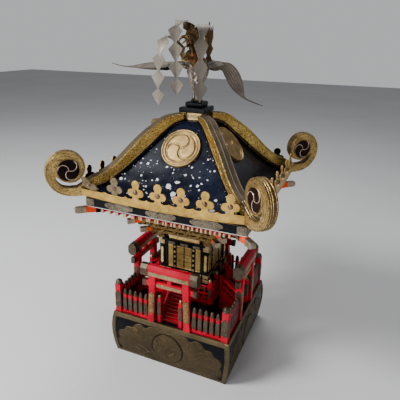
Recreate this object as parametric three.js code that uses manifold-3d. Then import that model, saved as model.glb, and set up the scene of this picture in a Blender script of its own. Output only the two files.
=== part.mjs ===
// A small portable shrine (mikoshi): a bulging square base, a fenced terrace with four torii gates and
// stairs, a railed veranda round a four-sided sanctuary, stepped brackets, two rows of rafters, a curved
// lacquered roof with scroll-ended ridges, and a sheet-metal phoenix on top.
//
// Millimetres, +Z up. The origin is the centre of the underside of the base. The front faces -Y and
// holds the pair of hinged doors; the other three sides repeat it with the doors shut for good.

import * as THREE from 'three';
import { mergeVertices } from 'three/addons/utils/BufferGeometryUtils.js';
import Module from 'manifold-3d';

const wasm = await Module();
wasm.setup();

// ---------------------------------------------------------------- driving dimensions

const GAP = 0.3; // clearance between two pieces that touch
const FAR = 400; // longer than anything it cuts

const BASE_HEIGHT = 142;
const BASE_SIDE = [[180, 0], [187, 45], [190, 95], [184, BASE_HEIGHT]]; // half width, height
const BASE_WALL = 14;
const BASE_TOP = 12;

const PANEL = { halfLength: 164, low: 15, high: 127, proud: 1.8 };

const FENCE = { line: 172, depth: 10, rail: 9, shoulder: 214, top: 225 };
const PICKETS = { first: 78, last: 149, count: 5, width: 12.5 };
const FENCE_POST = { centre: 171, width: 19, top: 238, capTop: 252 };

const TORII = { line: 173, foot: 58, head: 52, post: 20, beamLow: 292, beamHigh: 330, beamHalf: 88 };
const TORII_BEAM_DEPTH = 27;
const TIE = { low: 261, high: 279, half: 85, depth: 12 };

const DECK = { half: 102, low: 194, high: 205, footHalf: 84 };
const STAIR = { halfWidth: 31.2, steps: 8, foot: 164, head: 103, board: 6 };
const NEWEL = { x: 34, half: 5.5, face: 175.5, top: 226, capTop: 235 };
const HANDRAIL = { footHigh: 214, headHigh: 261, height: 7 };
const RAIL = { line: 93, post: 10, end: 39, top: 266, capTop: 276 };

const PLINTH_TOP = 262;
const BODY = { column: 71, columnWidth: 16, wallOuter: 73, wallInner: 67, top: 365 };
const DOOR = { half: 25.6, low: 276.2, high: 351.8, outer: 74.2, inner: 70.2 };

const BRACKET_TOP = 467.7;
const RAFTER = { pitch: 24.4, width: 7 };
const UPPER_RAFTERS = { tip: 222, root: 150, low: 485, high: 495, pairs: 8 };
const LOWER_EAVE = { tip: 190, root: 122, low: 468, high: 481 }; // the inner row is one solid board
const SOFFIT = 499.7;
const HIP_WIDTH = 14;

const FASCIA = { half: 228, low: 500, high: 526 };
// Roof surface from the apex to the eave: distance of the surface line from the centre, height.
// Between the two ROOF_STRAIGHT points the slope is flat, and the roundels lie there.
const ROOF_STRAIGHT = [[66, 703], [148, 603]];
const EAVE_EDGE = [240.2, 541];
const ROOF_CURVE = [[30, 726], [48, 719], ...ROOF_STRAIGHT, [171, 579], [191, 560.5], [214, 549.5],
  EAVE_EDGE];
const EAVE_LIFT = 9; // how far the eave rises from its middle to its corner

const EAVE_PLATE = { outer: 243.5, inner: 240.5, low: 529, band: 551, half: 236, crests: 7, pitch: 63 };

const RIDGE_WIDTH = 30;
// Top of a ridge, measured level and outwards along its own diagonal, then height.
const RIDGE_TOP = [[44, 743], [61, 742], [95, 736], [124, 718], [156, 696], [190, 667], [215, 643],
  [242, 619], [262, 604.5], [281, 594], [303, 585], [321, 574]];
const SCROLL = { centre: 365, z: 610, width: 24 };

const MEDALLION = { radius: 56, thickness: 8, distance: 101.7 }; // it lies on the straight stretch of the roof
const ROBAN = { half: 38, low: 745.3, middle: 760, upperHalf: 24, top: 775 };

const BIRD_TURN = 23.9; // the phoenix is turned on its peg, in degrees
const DIAMOND_SHOULDER = 0.34; // where a tail feather's diamond is widest, as a share of its length
const SHEET = 1.6; // thickness of its sheet metal

// ---------------------------------------------------------------- finishes

const finish = (color, roughness, metalness) => (
  new THREE.MeshStandardMaterial({ color, roughness, metalness }));
const RED = finish(0xc40f1c, 0.35, 0);
const BLACK = finish(0x0d0f1a, 0.2, 0);
const BRASS = finish(0x9c8350, 0.45, 1);
const GOLD = finish(0xc9a65a, 0.4, 1);
const BASE_BRASS = finish(0x5f5136, 0.5, 1);
const GREY_BRASS = finish(0x7d7466, 0.45, 1);
const BRACKET = finish(0x7a5a2c, 0.5, 0.6);

// ---------------------------------------------------------------- solids

/** A closed geometry as a solid that can be joined and cut. */
function solid(geometry) {
  let bare = geometry.index ? geometry.toNonIndexed() : geometry.clone();
  bare.deleteAttribute('normal');
  bare.deleteAttribute('uv');
  bare = mergeVertices(bare, 1e-4);
  return new wasm.Manifold(new wasm.Mesh({
    numProp: 3,
    vertProperties: new Float32Array(bare.attributes.position.array),
    triVerts: new Uint32Array(bare.index.array),
  }));
}

/** A solid as a three.js geometry. */
function geometryOf(body) {
  const mesh = body.getMesh();
  const geometry = new THREE.BufferGeometry();
  geometry.setAttribute('position', new THREE.BufferAttribute(mesh.vertProperties, 3));
  geometry.setIndex(new THREE.BufferAttribute(mesh.triVerts, 1));
  return geometry;
}

const join = (bodies) => bodies.reduce((all, body) => all.add(body));

/** A solid moved by a matrix. */
const moved = (body, matrix) => solid(geometryOf(body).applyMatrix4(matrix));

/** An upright box between two corners. */
function box(x0, x1, y0, y1, z0, z1) {
  const geometry = new THREE.BoxGeometry(x1 - x0, y1 - y0, z1 - z0);
  geometry.translate((x0 + x1) / 2, (y0 + y1) / 2, (z0 + z1) / 2);
  return solid(geometry);
}

/** An outline in a plane, pushed out along Z from 0 to depth. */
function extruded(outline, depth) {
  const shape = new THREE.Shape(outline.map(([x, y]) => new THREE.Vector2(x, y)));
  return new THREE.ExtrudeGeometry(shape, { depth, bevelEnabled: false, curveSegments: 1 });
}

/** An (x, z) outline pushed out along Y. */
function prismY(outline, y0, y1) {
  const geometry = extruded(outline, y1 - y0);
  geometry.rotateX(Math.PI / 2); // x stays, the outline's second axis becomes z, depth runs to -y
  geometry.translate(0, y1, 0);
  return solid(geometry);
}

/** A (y, z) outline pushed out along X. */
function prismX(outline, x0, x1) {
  const geometry = extruded(outline, x1 - x0);
  geometry.applyMatrix4(new THREE.Matrix4().set(0, 0, 1, x0, 1, 0, 0, 0, 0, 1, 0, 0, 0, 0, 0, 1));
  return solid(geometry);
}

/** An (x, y) outline pushed out along Z. */
function prismZ(outline, z0, z1) {
  const geometry = extruded(outline, z1 - z0);
  geometry.translate(0, 0, z0);
  return solid(geometry);
}

/** A turned form on a vertical axis at (x, y); the profile is radius, height. */
function turned(profile, x, y, sides, phase = Math.PI / sides) {
  const points = profile.map(([radius, height]) => new THREE.Vector2(radius, height));
  const geometry = new THREE.LatheGeometry(points, sides, phase);
  geometry.rotateX(Math.PI / 2);
  geometry.translate(x, y, 0);
  return solid(geometry);
}

/**
 * A square form swept round the vertical axis. The profile runs from axis to axis as half width,
 * height, lift, where lift is the share of the eave's rise that the point takes at its corners.
 */
function squareSweep(profile, perSide) {
  const positions = [];
  const index = [];
  const around = 4 * perSide;
  const place = (half, z, lift, step) => {
    const side = Math.floor(step / perSide) % 4;
    const along = 2 * (step % perSide) / perSide - 1;
    const rise = lift * EAVE_LIFT * Math.abs(along * half / FASCIA.half) ** 3;
    const corner = new THREE.Vector3(along * half, -half, z + rise);
    return corner.applyAxisAngle(new THREE.Vector3(0, 0, 1), side * Math.PI / 2);
  };
  for (let k = 0; k < profile.length - 1; k += 1) {
    for (let step = 0; step < around; step += 1) {
      const [h0, z0, l0 = 0] = profile[k];
      const [h1, z1, l1 = 0] = profile[k + 1];
      const a = place(h0, z0, l0, step);
      const b = place(h0, z0, l0, step + 1);
      const c = place(h1, z1, l1, step + 1);
      const d = place(h1, z1, l1, step);
      const faces = h0 === 0 ? [a, d, c] : h1 === 0 ? [a, d, b] : [a, d, c, a, c, b];
      for (const corner of faces) {
        index.push(positions.length / 3);
        positions.push(corner.x, corner.y, corner.z);
      }
    }
  }
  const geometry = new THREE.BufferGeometry();
  geometry.setAttribute('position', new THREE.Float32BufferAttribute(positions, 3));
  geometry.setIndex(index);
  return solid(geometry);
}

/** A closed skin over rings of points; every ring has as many, counted the same way round the path. */
function loft(rings) {
  const sides = rings[0].length;
  const index = [];
  for (let k = 0; k < rings.length - 1; k += 1) {
    for (let side = 0; side < sides; side += 1) {
      const [a, b] = [sides * k + side, sides * k + (side + 1) % sides];
      index.push(a, b, b + sides, a, b + sides, a + sides);
    }
  }
  const end = sides * (rings.length - 1);
  for (let side = 1; side < sides - 1; side += 1) {
    index.push(0, side + 1, side, end, end + side, end + side + 1);
  }
  const geometry = new THREE.BufferGeometry();
  geometry.setAttribute('position', new THREE.Float32BufferAttribute(
    rings.flat().flatMap((corner) => corner.toArray()), 3));
  geometry.setIndex(index);
  return solid(geometry);
}

/** At each station of a path, the unit directions of its width and its thickness. */
function frames(stations) {
  const last = stations.length - 1;
  return stations.map(({ across }, k) => {
    const along = new THREE.Vector3()
      .subVectors(stations[Math.min(k + 1, last)].at, stations[Math.max(k - 1, 0)].at).normalize();
    const wide = across.clone().addScaledVector(along, -across.dot(along)).normalize();
    return [wide, new THREE.Vector3().crossVectors(along, wide)];
  });
}

/**
 * A strip of sheet: stations along a path, each {at, half, across}, where across is the direction of
 * the width and half is half of it.
 */
function strip(stations, thickness) {
  const directions = frames(stations);
  return loft(stations.map(({ at, half }, k) => [[-1, -1], [1, -1], [1, 1], [-1, 1]].map(([w, t]) => (
    at.clone().addScaledVector(directions[k][0], w * half)
      .addScaledVector(directions[k][1], t * thickness / 2)))));
}

/** A round limb through stations {at, radius}. */
function limb(stations, sides) {
  const directions = frames(stations.map(({ at }) => ({ at, across: new THREE.Vector3(1, 0, 0) })));
  return loft(stations.map(({ at, radius }, k) => arc(0, 0, radius, 0, 360 - 360 / sides, sides - 1)
    .map(([w, t]) => at.clone().addScaledVector(directions[k][0], w).addScaledVector(directions[k][1], t))));
}

/** Points on an arc round (x, y), from and to in degrees, counted from +X towards +Y. */
function arc(x, y, radius, from, to, count) {
  return Array.from({ length: count + 1 }, (_, k) => {
    const angle = THREE.MathUtils.degToRad(from + (to - from) * k / count);
    return [x + radius * Math.cos(angle), y + radius * Math.sin(angle)];
  });
}

// ---------------------------------------------------------------- placing

const shrine = new THREE.Group();
const SIDES = ['front', 'right', 'back', 'left'];
const CORNERS = ['front_right', 'back_right', 'back_left', 'front_left'];

function addMesh(name, body, material, parent = shrine) {
  const mesh = new THREE.Mesh(geometryOf(body), material);
  mesh.name = name;
  parent.add(mesh);
  return mesh;
}

/** The same piece once for each side or corner, turned a quarter each time. */
function addFourfold(prefix, names, make, material) {
  names.forEach((name, quarter) => {
    const mesh = addMesh(`${prefix}_${name}`, make(quarter), material);
    mesh.rotation.z = quarter * Math.PI / 2;
  });
}

/** A solid built with its length along X, turned onto the diagonal of the front right corner. */
const onDiagonal = (body) => moved(body, new THREE.Matrix4().makeRotationZ(-Math.PI / 4));

// ---------------------------------------------------------------- ornament

/** One comma of a three-comma roundel: its round head lies at angle `from` and its tail runs on. */
function comma(radius, from, stations) {
  const outer = [];
  const inner = [];
  for (let k = 0; k <= stations; k += 1) {
    const t = k / stations;
    const angle = from + t * 165;
    const middle = radius * (0.42 + 0.42 * Math.sqrt(t));
    const half = radius * 0.27 * (1 - t) ** 0.75;
    outer.push(arc(0, 0, Math.min(middle + half, radius * 0.9), angle, angle, 1)[0]);
    if (k < stations) inner.unshift(arc(0, 0, middle - half, angle, angle, 1)[0]);
  }
  const [hx, hy] = arc(0, 0, radius * 0.42, from, from, 1)[0];
  const head = arc(hx, hy, radius * 0.27, from + 180, from + 360, 3).slice(1, -1);
  return [...outer, ...inner, ...head];
}

const roundelCommas = (radius, stations) => [270, 150, 30].map((from) => comma(radius, from, stations));

// ---------------------------------------------------------------- base

function baseProfile(offset) {
  return BASE_SIDE.map(([half, z]) => [half + offset, z]);
}

function makeBase() {
  const outside = baseProfile(0).reverse();
  const inside = [[BASE_SIDE[0][0] - BASE_WALL, 0], [BASE_SIDE[0][0] - BASE_WALL, BASE_HEIGHT - BASE_TOP]];
  return squareSweep([[0, BASE_HEIGHT], ...outside, ...inside, [0, BASE_HEIGHT - BASE_TOP]], 1);
}

/** Outline of the sheet on one side of the base: scalloped corners and a waved upper edge. */
function panelOutline() {
  const { halfLength: l, low, high } = PANEL;
  const half = [[0, low], [l - 34, low], [l - 22, low + 14], [l - 4, low + 20], [l, low + 38],
    [l - 5, low + 60], [l - 22, low + 76], [l - 28, low + 90], [l - 50, low + 98], [l - 72, high - 6],
    [l - 94, high - 9], [l - 108, high], [0, high]];
  const mirrored = half.slice(1, -1).reverse().map(([x, z]) => [-x, z]);
  return [...half, ...mirrored];
}

/** A skin that follows the front side of the base, between two offsets from it. */
const baseSkin = (from, to) => prismX([
  ...baseProfile(from).map(([half, z]) => [-half, z]),
  ...baseProfile(to).reverse().map(([half, z]) => [-half, z]),
], -FAR, FAR);

function makePanel() {
  return baseSkin(GAP, PANEL.proud).intersect(prismY(panelOutline(), -FAR, 0));
}

// ---------------------------------------------------------------- terrace: fence, gates, stairs

const GROUND = BASE_HEIGHT + GAP;

/** A straight run of round-headed pickets on a foot rail. */
function makeFenceArm() {
  const { line, depth, shoulder, top } = FENCE;
  const { first, last, count, width } = PICKETS;
  const rail = GROUND + FENCE.rail;
  const half = width / 2;
  const start = first - half - 2;
  const outline = [[FENCE_POST.centre, GROUND], [start, GROUND], [start, rail]];
  for (let k = 0; k < count; k += 1) {
    const x = first + (last - first) * k / (count - 1);
    outline.push([x - half, rail], [x - half, shoulder], [x - half / 2, top], [x + half / 2, top],
      [x + half, shoulder], [x + half, rail]);
  }
  outline.push([FENCE_POST.centre, rail]);
  return prismY(outline, -line - depth / 2, -line + depth / 2);
}

/** A solid mirrored in the upright plane through the front right diagonal. */
function mirroredOnDiagonal(body) {
  const geometry = geometryOf(body).applyMatrix4(
    new THREE.Matrix4().set(0, -1, 0, 0, -1, 0, 0, 0, 0, 0, 1, 0, 0, 0, 0, 1));
  const index = geometry.index.array;
  for (let k = 0; k < index.length; k += 3) [index[k], index[k + 1]] = [index[k + 1], index[k]];
  return solid(geometry);
}

function makeFenceCorner() {
  const { centre, width, top, capTop } = FENCE_POST;
  const half = width / 2;
  const post = box(centre - half, centre + half, -centre - half, -centre + half, GROUND, top);
  const cap = turned([[0, top - 2], [11, top - 2], [11, top + 4], [7, capTop - 2], [0, capTop]],
    centre, -centre, 6);
  const arm = makeFenceArm();
  return join([post, cap, arm, mirroredOnDiagonal(arm)]);
}

function makeTorii() {
  const { line, foot, head, post, beamLow, beamHigh, beamHalf } = TORII;
  const half = post / 2;
  const posts = [-1, 1].map((side) => prismY([
    [side * foot - half, GROUND], [side * foot + half, GROUND],
    [side * head + half, beamLow + 6], [side * head - half, beamLow + 6],
  ], -line - half, -line + half));
  const bevel = 8;
  const deep = TORII_BEAM_DEPTH / 2;
  const beam = prismX([
    [-line - deep + bevel, beamLow], [-line + deep - bevel, beamLow], [-line + deep, beamLow + bevel],
    [-line + deep, beamHigh - bevel - 2], [-line + deep - bevel, beamHigh],
    [-line - deep + bevel, beamHigh], [-line - deep, beamHigh - bevel - 2], [-line - deep, beamLow + bevel],
  ], -beamHalf, beamHalf);
  const tie = box(-TIE.half, TIE.half, -line - TIE.depth / 2, -line + TIE.depth / 2, TIE.low, TIE.high);
  return join([...posts, beam, tie]);
}

function makeStairs() {
  const { halfWidth, steps, foot, head, board } = STAIR;
  const run = (foot - head) / steps;
  const rise = (DECK.high - GROUND) / steps;
  const flight = [[-head, GROUND]];
  flight.push([-head, DECK.high]);
  for (let k = steps; k > 0; k -= 1) {
    const y = -head - run * (steps - k + 1);
    flight.push([y, GROUND + rise * k], [y, GROUND + rise * (k - 1)]);
  }
  const treads = prismX(flight, -halfWidth, halfWidth);
  const sides = [-1, 1].flatMap((side) => {
    const x = side * NEWEL.x;
    const plank = (outline) => prismX(outline, x - board / 2, x + board / 2);
    const stringer = plank([[-foot, GROUND], [-head, GROUND], [-head, DECK.high + 12],
      [-foot, GROUND + 24]]);
    const { footHigh, headHigh, height } = HANDRAIL;
    const handrail = plank([[-foot, footHigh - height], [-head, headHigh - height], [-head, headHigh],
      [-foot, footHigh]]);
    const post = box(x - NEWEL.half, x + NEWEL.half, -NEWEL.face, -foot, GROUND, NEWEL.top);
    const cap = turned([[0, NEWEL.top - 1], [5, NEWEL.top - 1], [5.5, NEWEL.top + 4], [0, NEWEL.capTop]],
      x, -(NEWEL.face + foot) / 2, 4);
    const upright = box(x - board / 2, x + board / 2, -head - 5, -head, DECK.high, headHigh - 2);
    return [stringer, handrail, post, cap, upright];
  });
  return join([treads, ...sides]);
}

// ---------------------------------------------------------------- veranda and sanctuary

function makeDeck() {
  const { half, low, high, footHalf } = DECK;
  const slab = box(-half, half, -half, half, low, high);
  const foot = box(-footHalf, footHalf, -footHalf, footHalf, GROUND, low + 1);
  return slab.add(foot);
}

function makeRailArm() {
  const { line, post, end, top, capTop } = RAIL;
  const floor = DECK.high + GAP;
  const bar = (low, high, deep) => box(end, line, -line - deep, -line + deep, low, high);
  const endPost = box(end - 4.5, end + 4.5, -line - 4.5, -line + 4.5, floor, top);
  const cap = turned([[0, top - 1], [4.5, top - 1], [5, top + 4], [0, capTop]], end, -line, 4);
  return join([bar(floor, 213, post / 2 - 0.5), bar(221, 226, 2.5), bar(245, 250.5, 3), endPost, cap]);
}

function makeRailCorner() {
  const { line, post, top, capTop } = RAIL;
  const half = post / 2;
  const corner = box(line - half, line + half, -line - half, -line + half, DECK.high + GAP, top);
  const cap = turned([[0, top - 1], [5, top - 1], [5.5, top + 4], [0, capTop]], line, -line, 4);
  const arm = makeRailArm();
  return join([corner, cap, arm, mirroredOnDiagonal(arm)]);
}

function makePlinth() {
  const tier = (half, low, high) => box(-half, half, -half, half, low, high);
  return join([tier(84, DECK.high + GAP, 214), tier(78, 213, 252), tier(84, 250, PLINTH_TOP)]);
}

/** One wall with the corner column at its right-hand end. Only the front one has a real doorway. */
function makeWall(quarter) {
  const { column, columnWidth, wallOuter, wallInner, top } = BODY;
  const low = PLINTH_TOP + GAP;
  const columnLow = column - columnWidth / 2;
  const columnHigh = column + columnWidth / 2;
  const start = -columnLow + GAP;
  const front = (x0, x1, outer, z0, z1) => box(x0, x1, -outer, -wallInner, z0, z1);
  const pieces = [
    front(start, columnLow + 1, wallOuter, low, top),
    box(columnLow, columnHigh, -columnHigh, -columnLow, low, top),
    front(start, columnLow + 1, 77, low, 275),
    front(start, columnLow + 1, 77, 353, top),
  ];
  for (const [inner, outer] of [[27, 34], [54, columnLow - GAP]]) {
    pieces.push(front(inner, outer, 76, low, top), front(-outer, -inner, 76, low, top));
  }
  const wall = join(pieces);
  if (quarter === 0) {
    return wall.subtract(box(-DOOR.half - 0.4, DOOR.half + 0.4, -FAR, -1, DOOR.low - 0.6, DOOR.high + 0.6));
  }
  const leaf = (x0, x1) => box(x0, x1, -DOOR.outer, -wallInner, DOOR.low, DOOR.high);
  return join([wall, leaf(-DOOR.half, -0.4), leaf(0.4, DOOR.half)]);
}

/** A front door leaf; side is 1 for the leaf at +X and -1 for the leaf at -X. */
function makeLeaf(side) {
  const x = [side * 0.25, side * DOOR.half].sort((a, b) => a - b);
  return box(x[0], x[1], -DOOR.outer, -DOOR.inner, DOOR.low, DOOR.high);
}

// ---------------------------------------------------------------- brackets, rafters

function makeBrackets() {
  const low = BODY.top + GAP;
  // Half width, bottom and top of each tier, from the wall plate to the plate under the rafters.
  const tiers = [[81, low, 373], [70, 372, 391], [88, 390, 398], [80, 397, 413], [106, 412, 420],
    [96, 419, 435], [124, 434, 442], [114, 441, 457], [146, 456, BRACKET_TOP]];
  const pieces = tiers.map(([half, z0, z1]) => box(-half, half, -half, half, z0, z1));
  // Bearing blocks stand in the recess of each tier, evenly along every side.
  for (const [reach, recess, z0, z1, count] of [[100, 80, 397, 413, 3], [118, 96, 419, 435, 3],
    [138, 114, 441, 457, 4]]) {
    for (let k = 0; k < count; k += 1) {
      const x = (reach - 16) * (2 * k / (count - 1) - 1);
      for (const [x0, x1, y0, y1] of [[x - 7, x + 7, -reach, reach], [-reach, reach, x - 7, x + 7]]) {
        if (Math.abs(x) + 7 < recess) pieces.push(box(x0, x1, y0, y1, z0, z1));
      }
    }
  }
  // Two tail beams leave each corner along the diagonal.
  for (const [reach, z] of [[122, 398], [149, 430]]) {
    const end = reach * Math.SQRT2;
    for (const turn of [Math.PI / 4, -Math.PI / 4]) {
      pieces.push(moved(box(-end, end, -6.5, 6.5, z, z + 14), new THREE.Matrix4().makeRotationZ(turn)));
    }
  }
  // A lintel beam runs along each side over the doors.
  pieces.push(box(-49, 49, -77, 77, 372.5, 384), box(-77, 77, -49, 49, 372.5, 384));
  return join(pieces);
}

function makeHip() {
  const half = HIP_WIDTH / 2;
  const low = BRACKET_TOP + GAP;
  const outline = [[150, low], [205, low], [262, 477], [356, 484], [356, SOFFIT], [150, SOFFIT]];
  return onDiagonal(prismY(outline, -half, half));
}

/** A row of parallel rafters under a board, as one comb-shaped outline pushed along Y. */
function rafterRow({ tip, root, low, high, pairs }) {
  const half = RAFTER.width / 2;
  const comb = [[tip, SOFFIT], [-tip, SOFFIT], [-tip, high]];
  for (let k = -pairs; k < pairs; k += 1) {
    const x = RAFTER.pitch * (k + 0.5);
    comb.push([x - half, high], [x - half, low], [x + half, low], [x + half, high]);
  }
  comb.push([tip, high]);
  return prismY(comb, -tip, -root);
}

function makeRafters() {
  const upper = rafterRow(UPPER_RAFTERS);
  const { tip, root, low, high } = LOWER_EAVE;
  const lower = box(-tip, tip, -tip, -root, low, high);
  // Struts between the rafters hold the upper row off the lower one.
  const struts = [-1, 1].map((side) => box(side * 122 - 5, side * 122 + 5, -186, -176, 480, 496));
  // Mitred against the neighbouring sides, with room for the hip rafter on the diagonal.
  const free = (HIP_WIDTH / 2 + GAP) * Math.SQRT2;
  const wedge = prismZ([[0, -free], [-FAR, -FAR - free], [FAR, -FAR - free]], 0, FAR * 2);
  return join([upper, lower, ...struts]).intersect(wedge);
}

// ---------------------------------------------------------------- roof

function roofProfile(raise) {
  const surface = ROOF_CURVE.map(([half, z]) => [half, z + raise, 1]);
  return [[0, ROOF_CURVE[0][1] + raise], ...surface, [EAVE_EDGE[0], EAVE_EDGE[1] - 9, 1],
    [FASCIA.half, FASCIA.high, 0], [FASCIA.half, FASCIA.low, 0], [0, FASCIA.low]];
}

const makeRoof = (raise = 0) => squareSweep(roofProfile(raise), 4);

const eaveLift = (x) => EAVE_LIFT * Math.abs(x / FASCIA.half) ** 3;

/** Pierced plate along one eave: a band with a row of trefoil crests. */
function makeEavePlate(quarter) {
  const { outer, inner, low, band, half, crests, pitch } = EAVE_PLATE;
  const crest = [[-13, band + 4], [-23, 565], [-10, 580], [-14, 590], [-6, 601]];
  const top = [[-half, band]];
  for (let k = 0; k < crests; k += 1) {
    const x = pitch * (k - (crests - 1) / 2);
    top.push(...crest.map(([dx, z]) => [x + dx, z]));
    top.push(...crest.map(([dx, z]) => [x - dx, z]).reverse());
  }
  top.push([half, band]);
  const bottom = [-1, -0.8, -0.5, 0, 0.5, 0.8, 1].map((share) => [share * half, low]);
  const outline = [...bottom, ...top.reverse()].map(([x, z]) => [x, z + eaveLift(x)]);
  const plate = prismY(outline, -outer, -inner).subtract(scrollSolid(SCROLL.width + 2 * GAP));
  const otherEnd = new THREE.Matrix4().makeRotationZ(-Math.PI / 2);
  const cut = plate.subtract(moved(scrollSolid(SCROLL.width + 2 * GAP), otherEnd));
  if (quarter !== 0) return cut;
  // Old damage: the last crest at the left end leans outwards and the tip of the band is pulled forward.
  const geometry = geometryOf(cut);
  const position = geometry.attributes.position;
  for (let k = 0; k < position.count; k += 1) {
    const x = position.getX(k);
    const z = position.getZ(k);
    const lean = x < -160 && z > band + 12 ? (z - band - 12) * 0.28 : 0;
    const pull = x < -205 ? (-205 - x) * 0.25 : 0;
    position.setY(k, position.getY(k) - lean - pull);
  }
  return solid(geometry);
}

/** Radius of the scroll's outer line, by the angle turned from straight down, outwards and up. */
function scrollRadius(degrees) {
  const turns = degrees / 360;
  return 73 - 49 * turns + 12 * turns * turns - 2.1 * Math.sin(2 * Math.PI * turns) * (1 - turns);
}

/** The scroll with its neck, in its own upright plane: distance outwards along the diagonal, height. */
function scrollOutline() {
  const { centre, z } = SCROLL;
  const at = (degrees, radius) => {
    const angle = THREE.MathUtils.degToRad(degrees - 90);
    return [centre + radius * Math.cos(angle), z + radius * Math.sin(angle)];
  };
  const outside = [];
  for (let degrees = 0; degrees <= 360; degrees += 24) outside.push(at(degrees, scrollRadius(degrees)));
  const slot = [at(28, 35), at(60, 35.5), at(66, 38), at(45, 43), at(22, 47), at(0, 49)];
  return [...outside, ...slot];
}

/** The scroll end as a solid on the front right diagonal, with the neck that joins it to the ridge. */
function scrollSolid(width) {
  const neck = [[345, 561], [321, 574], [303, 585], [303, 560], [318, 541], [330, 535], [348, 535],
    [365, 537]];
  return onDiagonal(prismY([...scrollOutline(), ...neck], -width / 2, width / 2));
}

function makeRidge() {
  const top = RIDGE_TOP.filter(([d]) => d < 304);
  const beam = onDiagonal(prismY([...top, [303, 540], [242, 570], [95, 670], [44, 700]],
    -RIDGE_WIDTH / 2, RIDGE_WIDTH / 2));
  return join([beam, scrollSolid(SCROLL.width)]).subtract(makeRoof(GAP));
}

/** A raised-rim disc with a roundel, lying on the straight stretch of the roof slope. */
function makeRoofMedallion() {
  const { radius, thickness, distance } = MEDALLION;
  const face = thickness - 2.5;
  const profile = [[0, GAP], [radius, GAP], [radius, thickness], [radius - 5, thickness],
    [radius - 7, face], [0, face]];
  const disc = turned(profile, 0, 0, 20);
  const commas = roundelCommas(radius - 8, 3).map((outline) => prismZ(outline, face - 1, face + 1.6));
  const [[halfA, zA], [halfB, zB]] = ROOF_STRAIGHT;
  const slope = Math.atan2(zA - zB, halfB - halfA);
  const z = zA + (zB - zA) * (distance - halfA) / (halfB - halfA);
  const place = new THREE.Matrix4().makeTranslation(0, -distance, z)
    .multiply(new THREE.Matrix4().makeRotationX(slope));
  return moved(join([disc, ...commas]), place);
}

/** The block on the apex, between the heads of the ridges. */
function makeRidgeBlock() {
  const half = 27;
  return box(-half, half, -half, half, ROOF_CURVE[0][1] + GAP, ROBAN.low - GAP);
}

function makeRoban() {
  const { half, low, middle, upperHalf, top } = ROBAN;
  const profile = [[0, top], [upperHalf - 3, top], [upperHalf, top - 3], [upperHalf, top - 9],
    [upperHalf - 3, middle + 1], [half - 3, middle + 1], [half, middle - 2], [half, low + 2],
    [half - 2, low], [0, low]];
  return squareSweep(profile, 1);
}

// ---------------------------------------------------------------- phoenix

const point = (l, f, z) => new THREE.Vector3(l, -f, z); // left-right, forward, height in the bird's frame
const BIRD = new THREE.Matrix4().makeRotationZ(THREE.MathUtils.degToRad(BIRD_TURN));
const ellipsoid = (l, f, z, rl, rf, rz, around, rings, grow = 0) => {
  const geometry = new THREE.SphereGeometry(1, around, rings);
  geometry.rotateX(Math.PI / 2);
  geometry.scale(rl + grow, rf + grow, rz + grow);
  geometry.translate(l, -f, z);
  return solid(geometry);
};

const birdTrunk = (grow = 0) => ellipsoid(1, 0, 856, 31, 27, 43, 9, 6, grow);

function makePhoenixBody() {
  const floor = ROBAN.top + GAP;
  const foot = box(-17, 17, -11, 11, floor, floor + 3);
  const legs = [-9, 8].map((l) => limb([
    { at: point(l, 0, floor + 1), radius: 5 }, { at: point(l, 1, 800), radius: 4 },
    { at: point(l * 1.2, 2, 832), radius: 12 },
  ], 6));
  const neck = limb([
    { at: point(-3, 12, 878), radius: 17 }, { at: point(-12, 22, 903), radius: 10.5 },
    { at: point(-17, 21, 925), radius: 8 }, { at: point(-20, 19, 940), radius: 7 },
  ], 7);
  const head = ellipsoid(-22, 18, 942, 15, 9, 11, 8, 5);
  const upperBeak = strip([
    { at: point(-30, 18, 944), half: 5, across: point(0, 0, 1) },
    { at: point(-44, 18, 943), half: 3.5, across: point(0, 0, 1) },
    { at: point(-51, 18, 935), half: 1.6, across: point(1, 0, 1) },
    { at: point(-52, 18, 925), half: 0.5, across: point(1, 0, 0) },
  ], 5);
  const lowerBeak = strip([
    { at: point(-30, 18, 936), half: 3, across: point(0, 0, 1) },
    { at: point(-41, 18, 928), half: 1.8, across: point(0, 0, 1) },
    { at: point(-45, 18, 924), half: 0.6, across: point(0, 0, 1) },
  ], 4);
  const comb = prismY([[-35, 946], [-31, 960], [-25, 958], [-19, 975], [-13, 962], [-4, 960], [1, 947], [-8, 938]]
    .reverse(), -19, -17);
  const hackle = strip([
    { at: point(-14, 22, 908), half: 6, across: point(0, 0, 1) },
    { at: point(-30, 24, 897), half: 5, across: point(0, 0, 1) },
    { at: point(-40, 24, 888), half: 1, across: point(0, 0, 1) },
  ], 3);
  return join([foot, ...legs, birdTrunk(), neck, head, upperBeak, lowerBeak, comb, hackle]);
}

/** A wing along a path of stations {l, f, z, half, across}. */
function makeWing(path) {
  const stations = path.map(({ l, f, z, half, across }) => ({ at: point(l, f, z), half, across }));
  return strip(stations, SHEET).subtract(birdTrunk(GAP));
}

function makeLeftWing() {
  const level = point(0, 1, 0.05);
  return makeWing([
    { l: -22, f: 0, z: 874, half: 11, across: level }, { l: -60, f: 0, z: 873, half: 14, across: level },
    { l: -74, f: -2, z: 872, half: 12, across: level }, { l: -84, f: 0, z: 871, half: 20, across: level },
    { l: -120, f: 3, z: 869, half: 21, across: level }, { l: -155, f: 5, z: 867, half: 14, across: level },
    { l: -180, f: 7, z: 866, half: 5, across: level }, { l: -205, f: 8, z: 868, half: 2.4, across: level },
    { l: -233, f: 9, z: 875, half: 0.8, across: level },
  ]);
}

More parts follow.
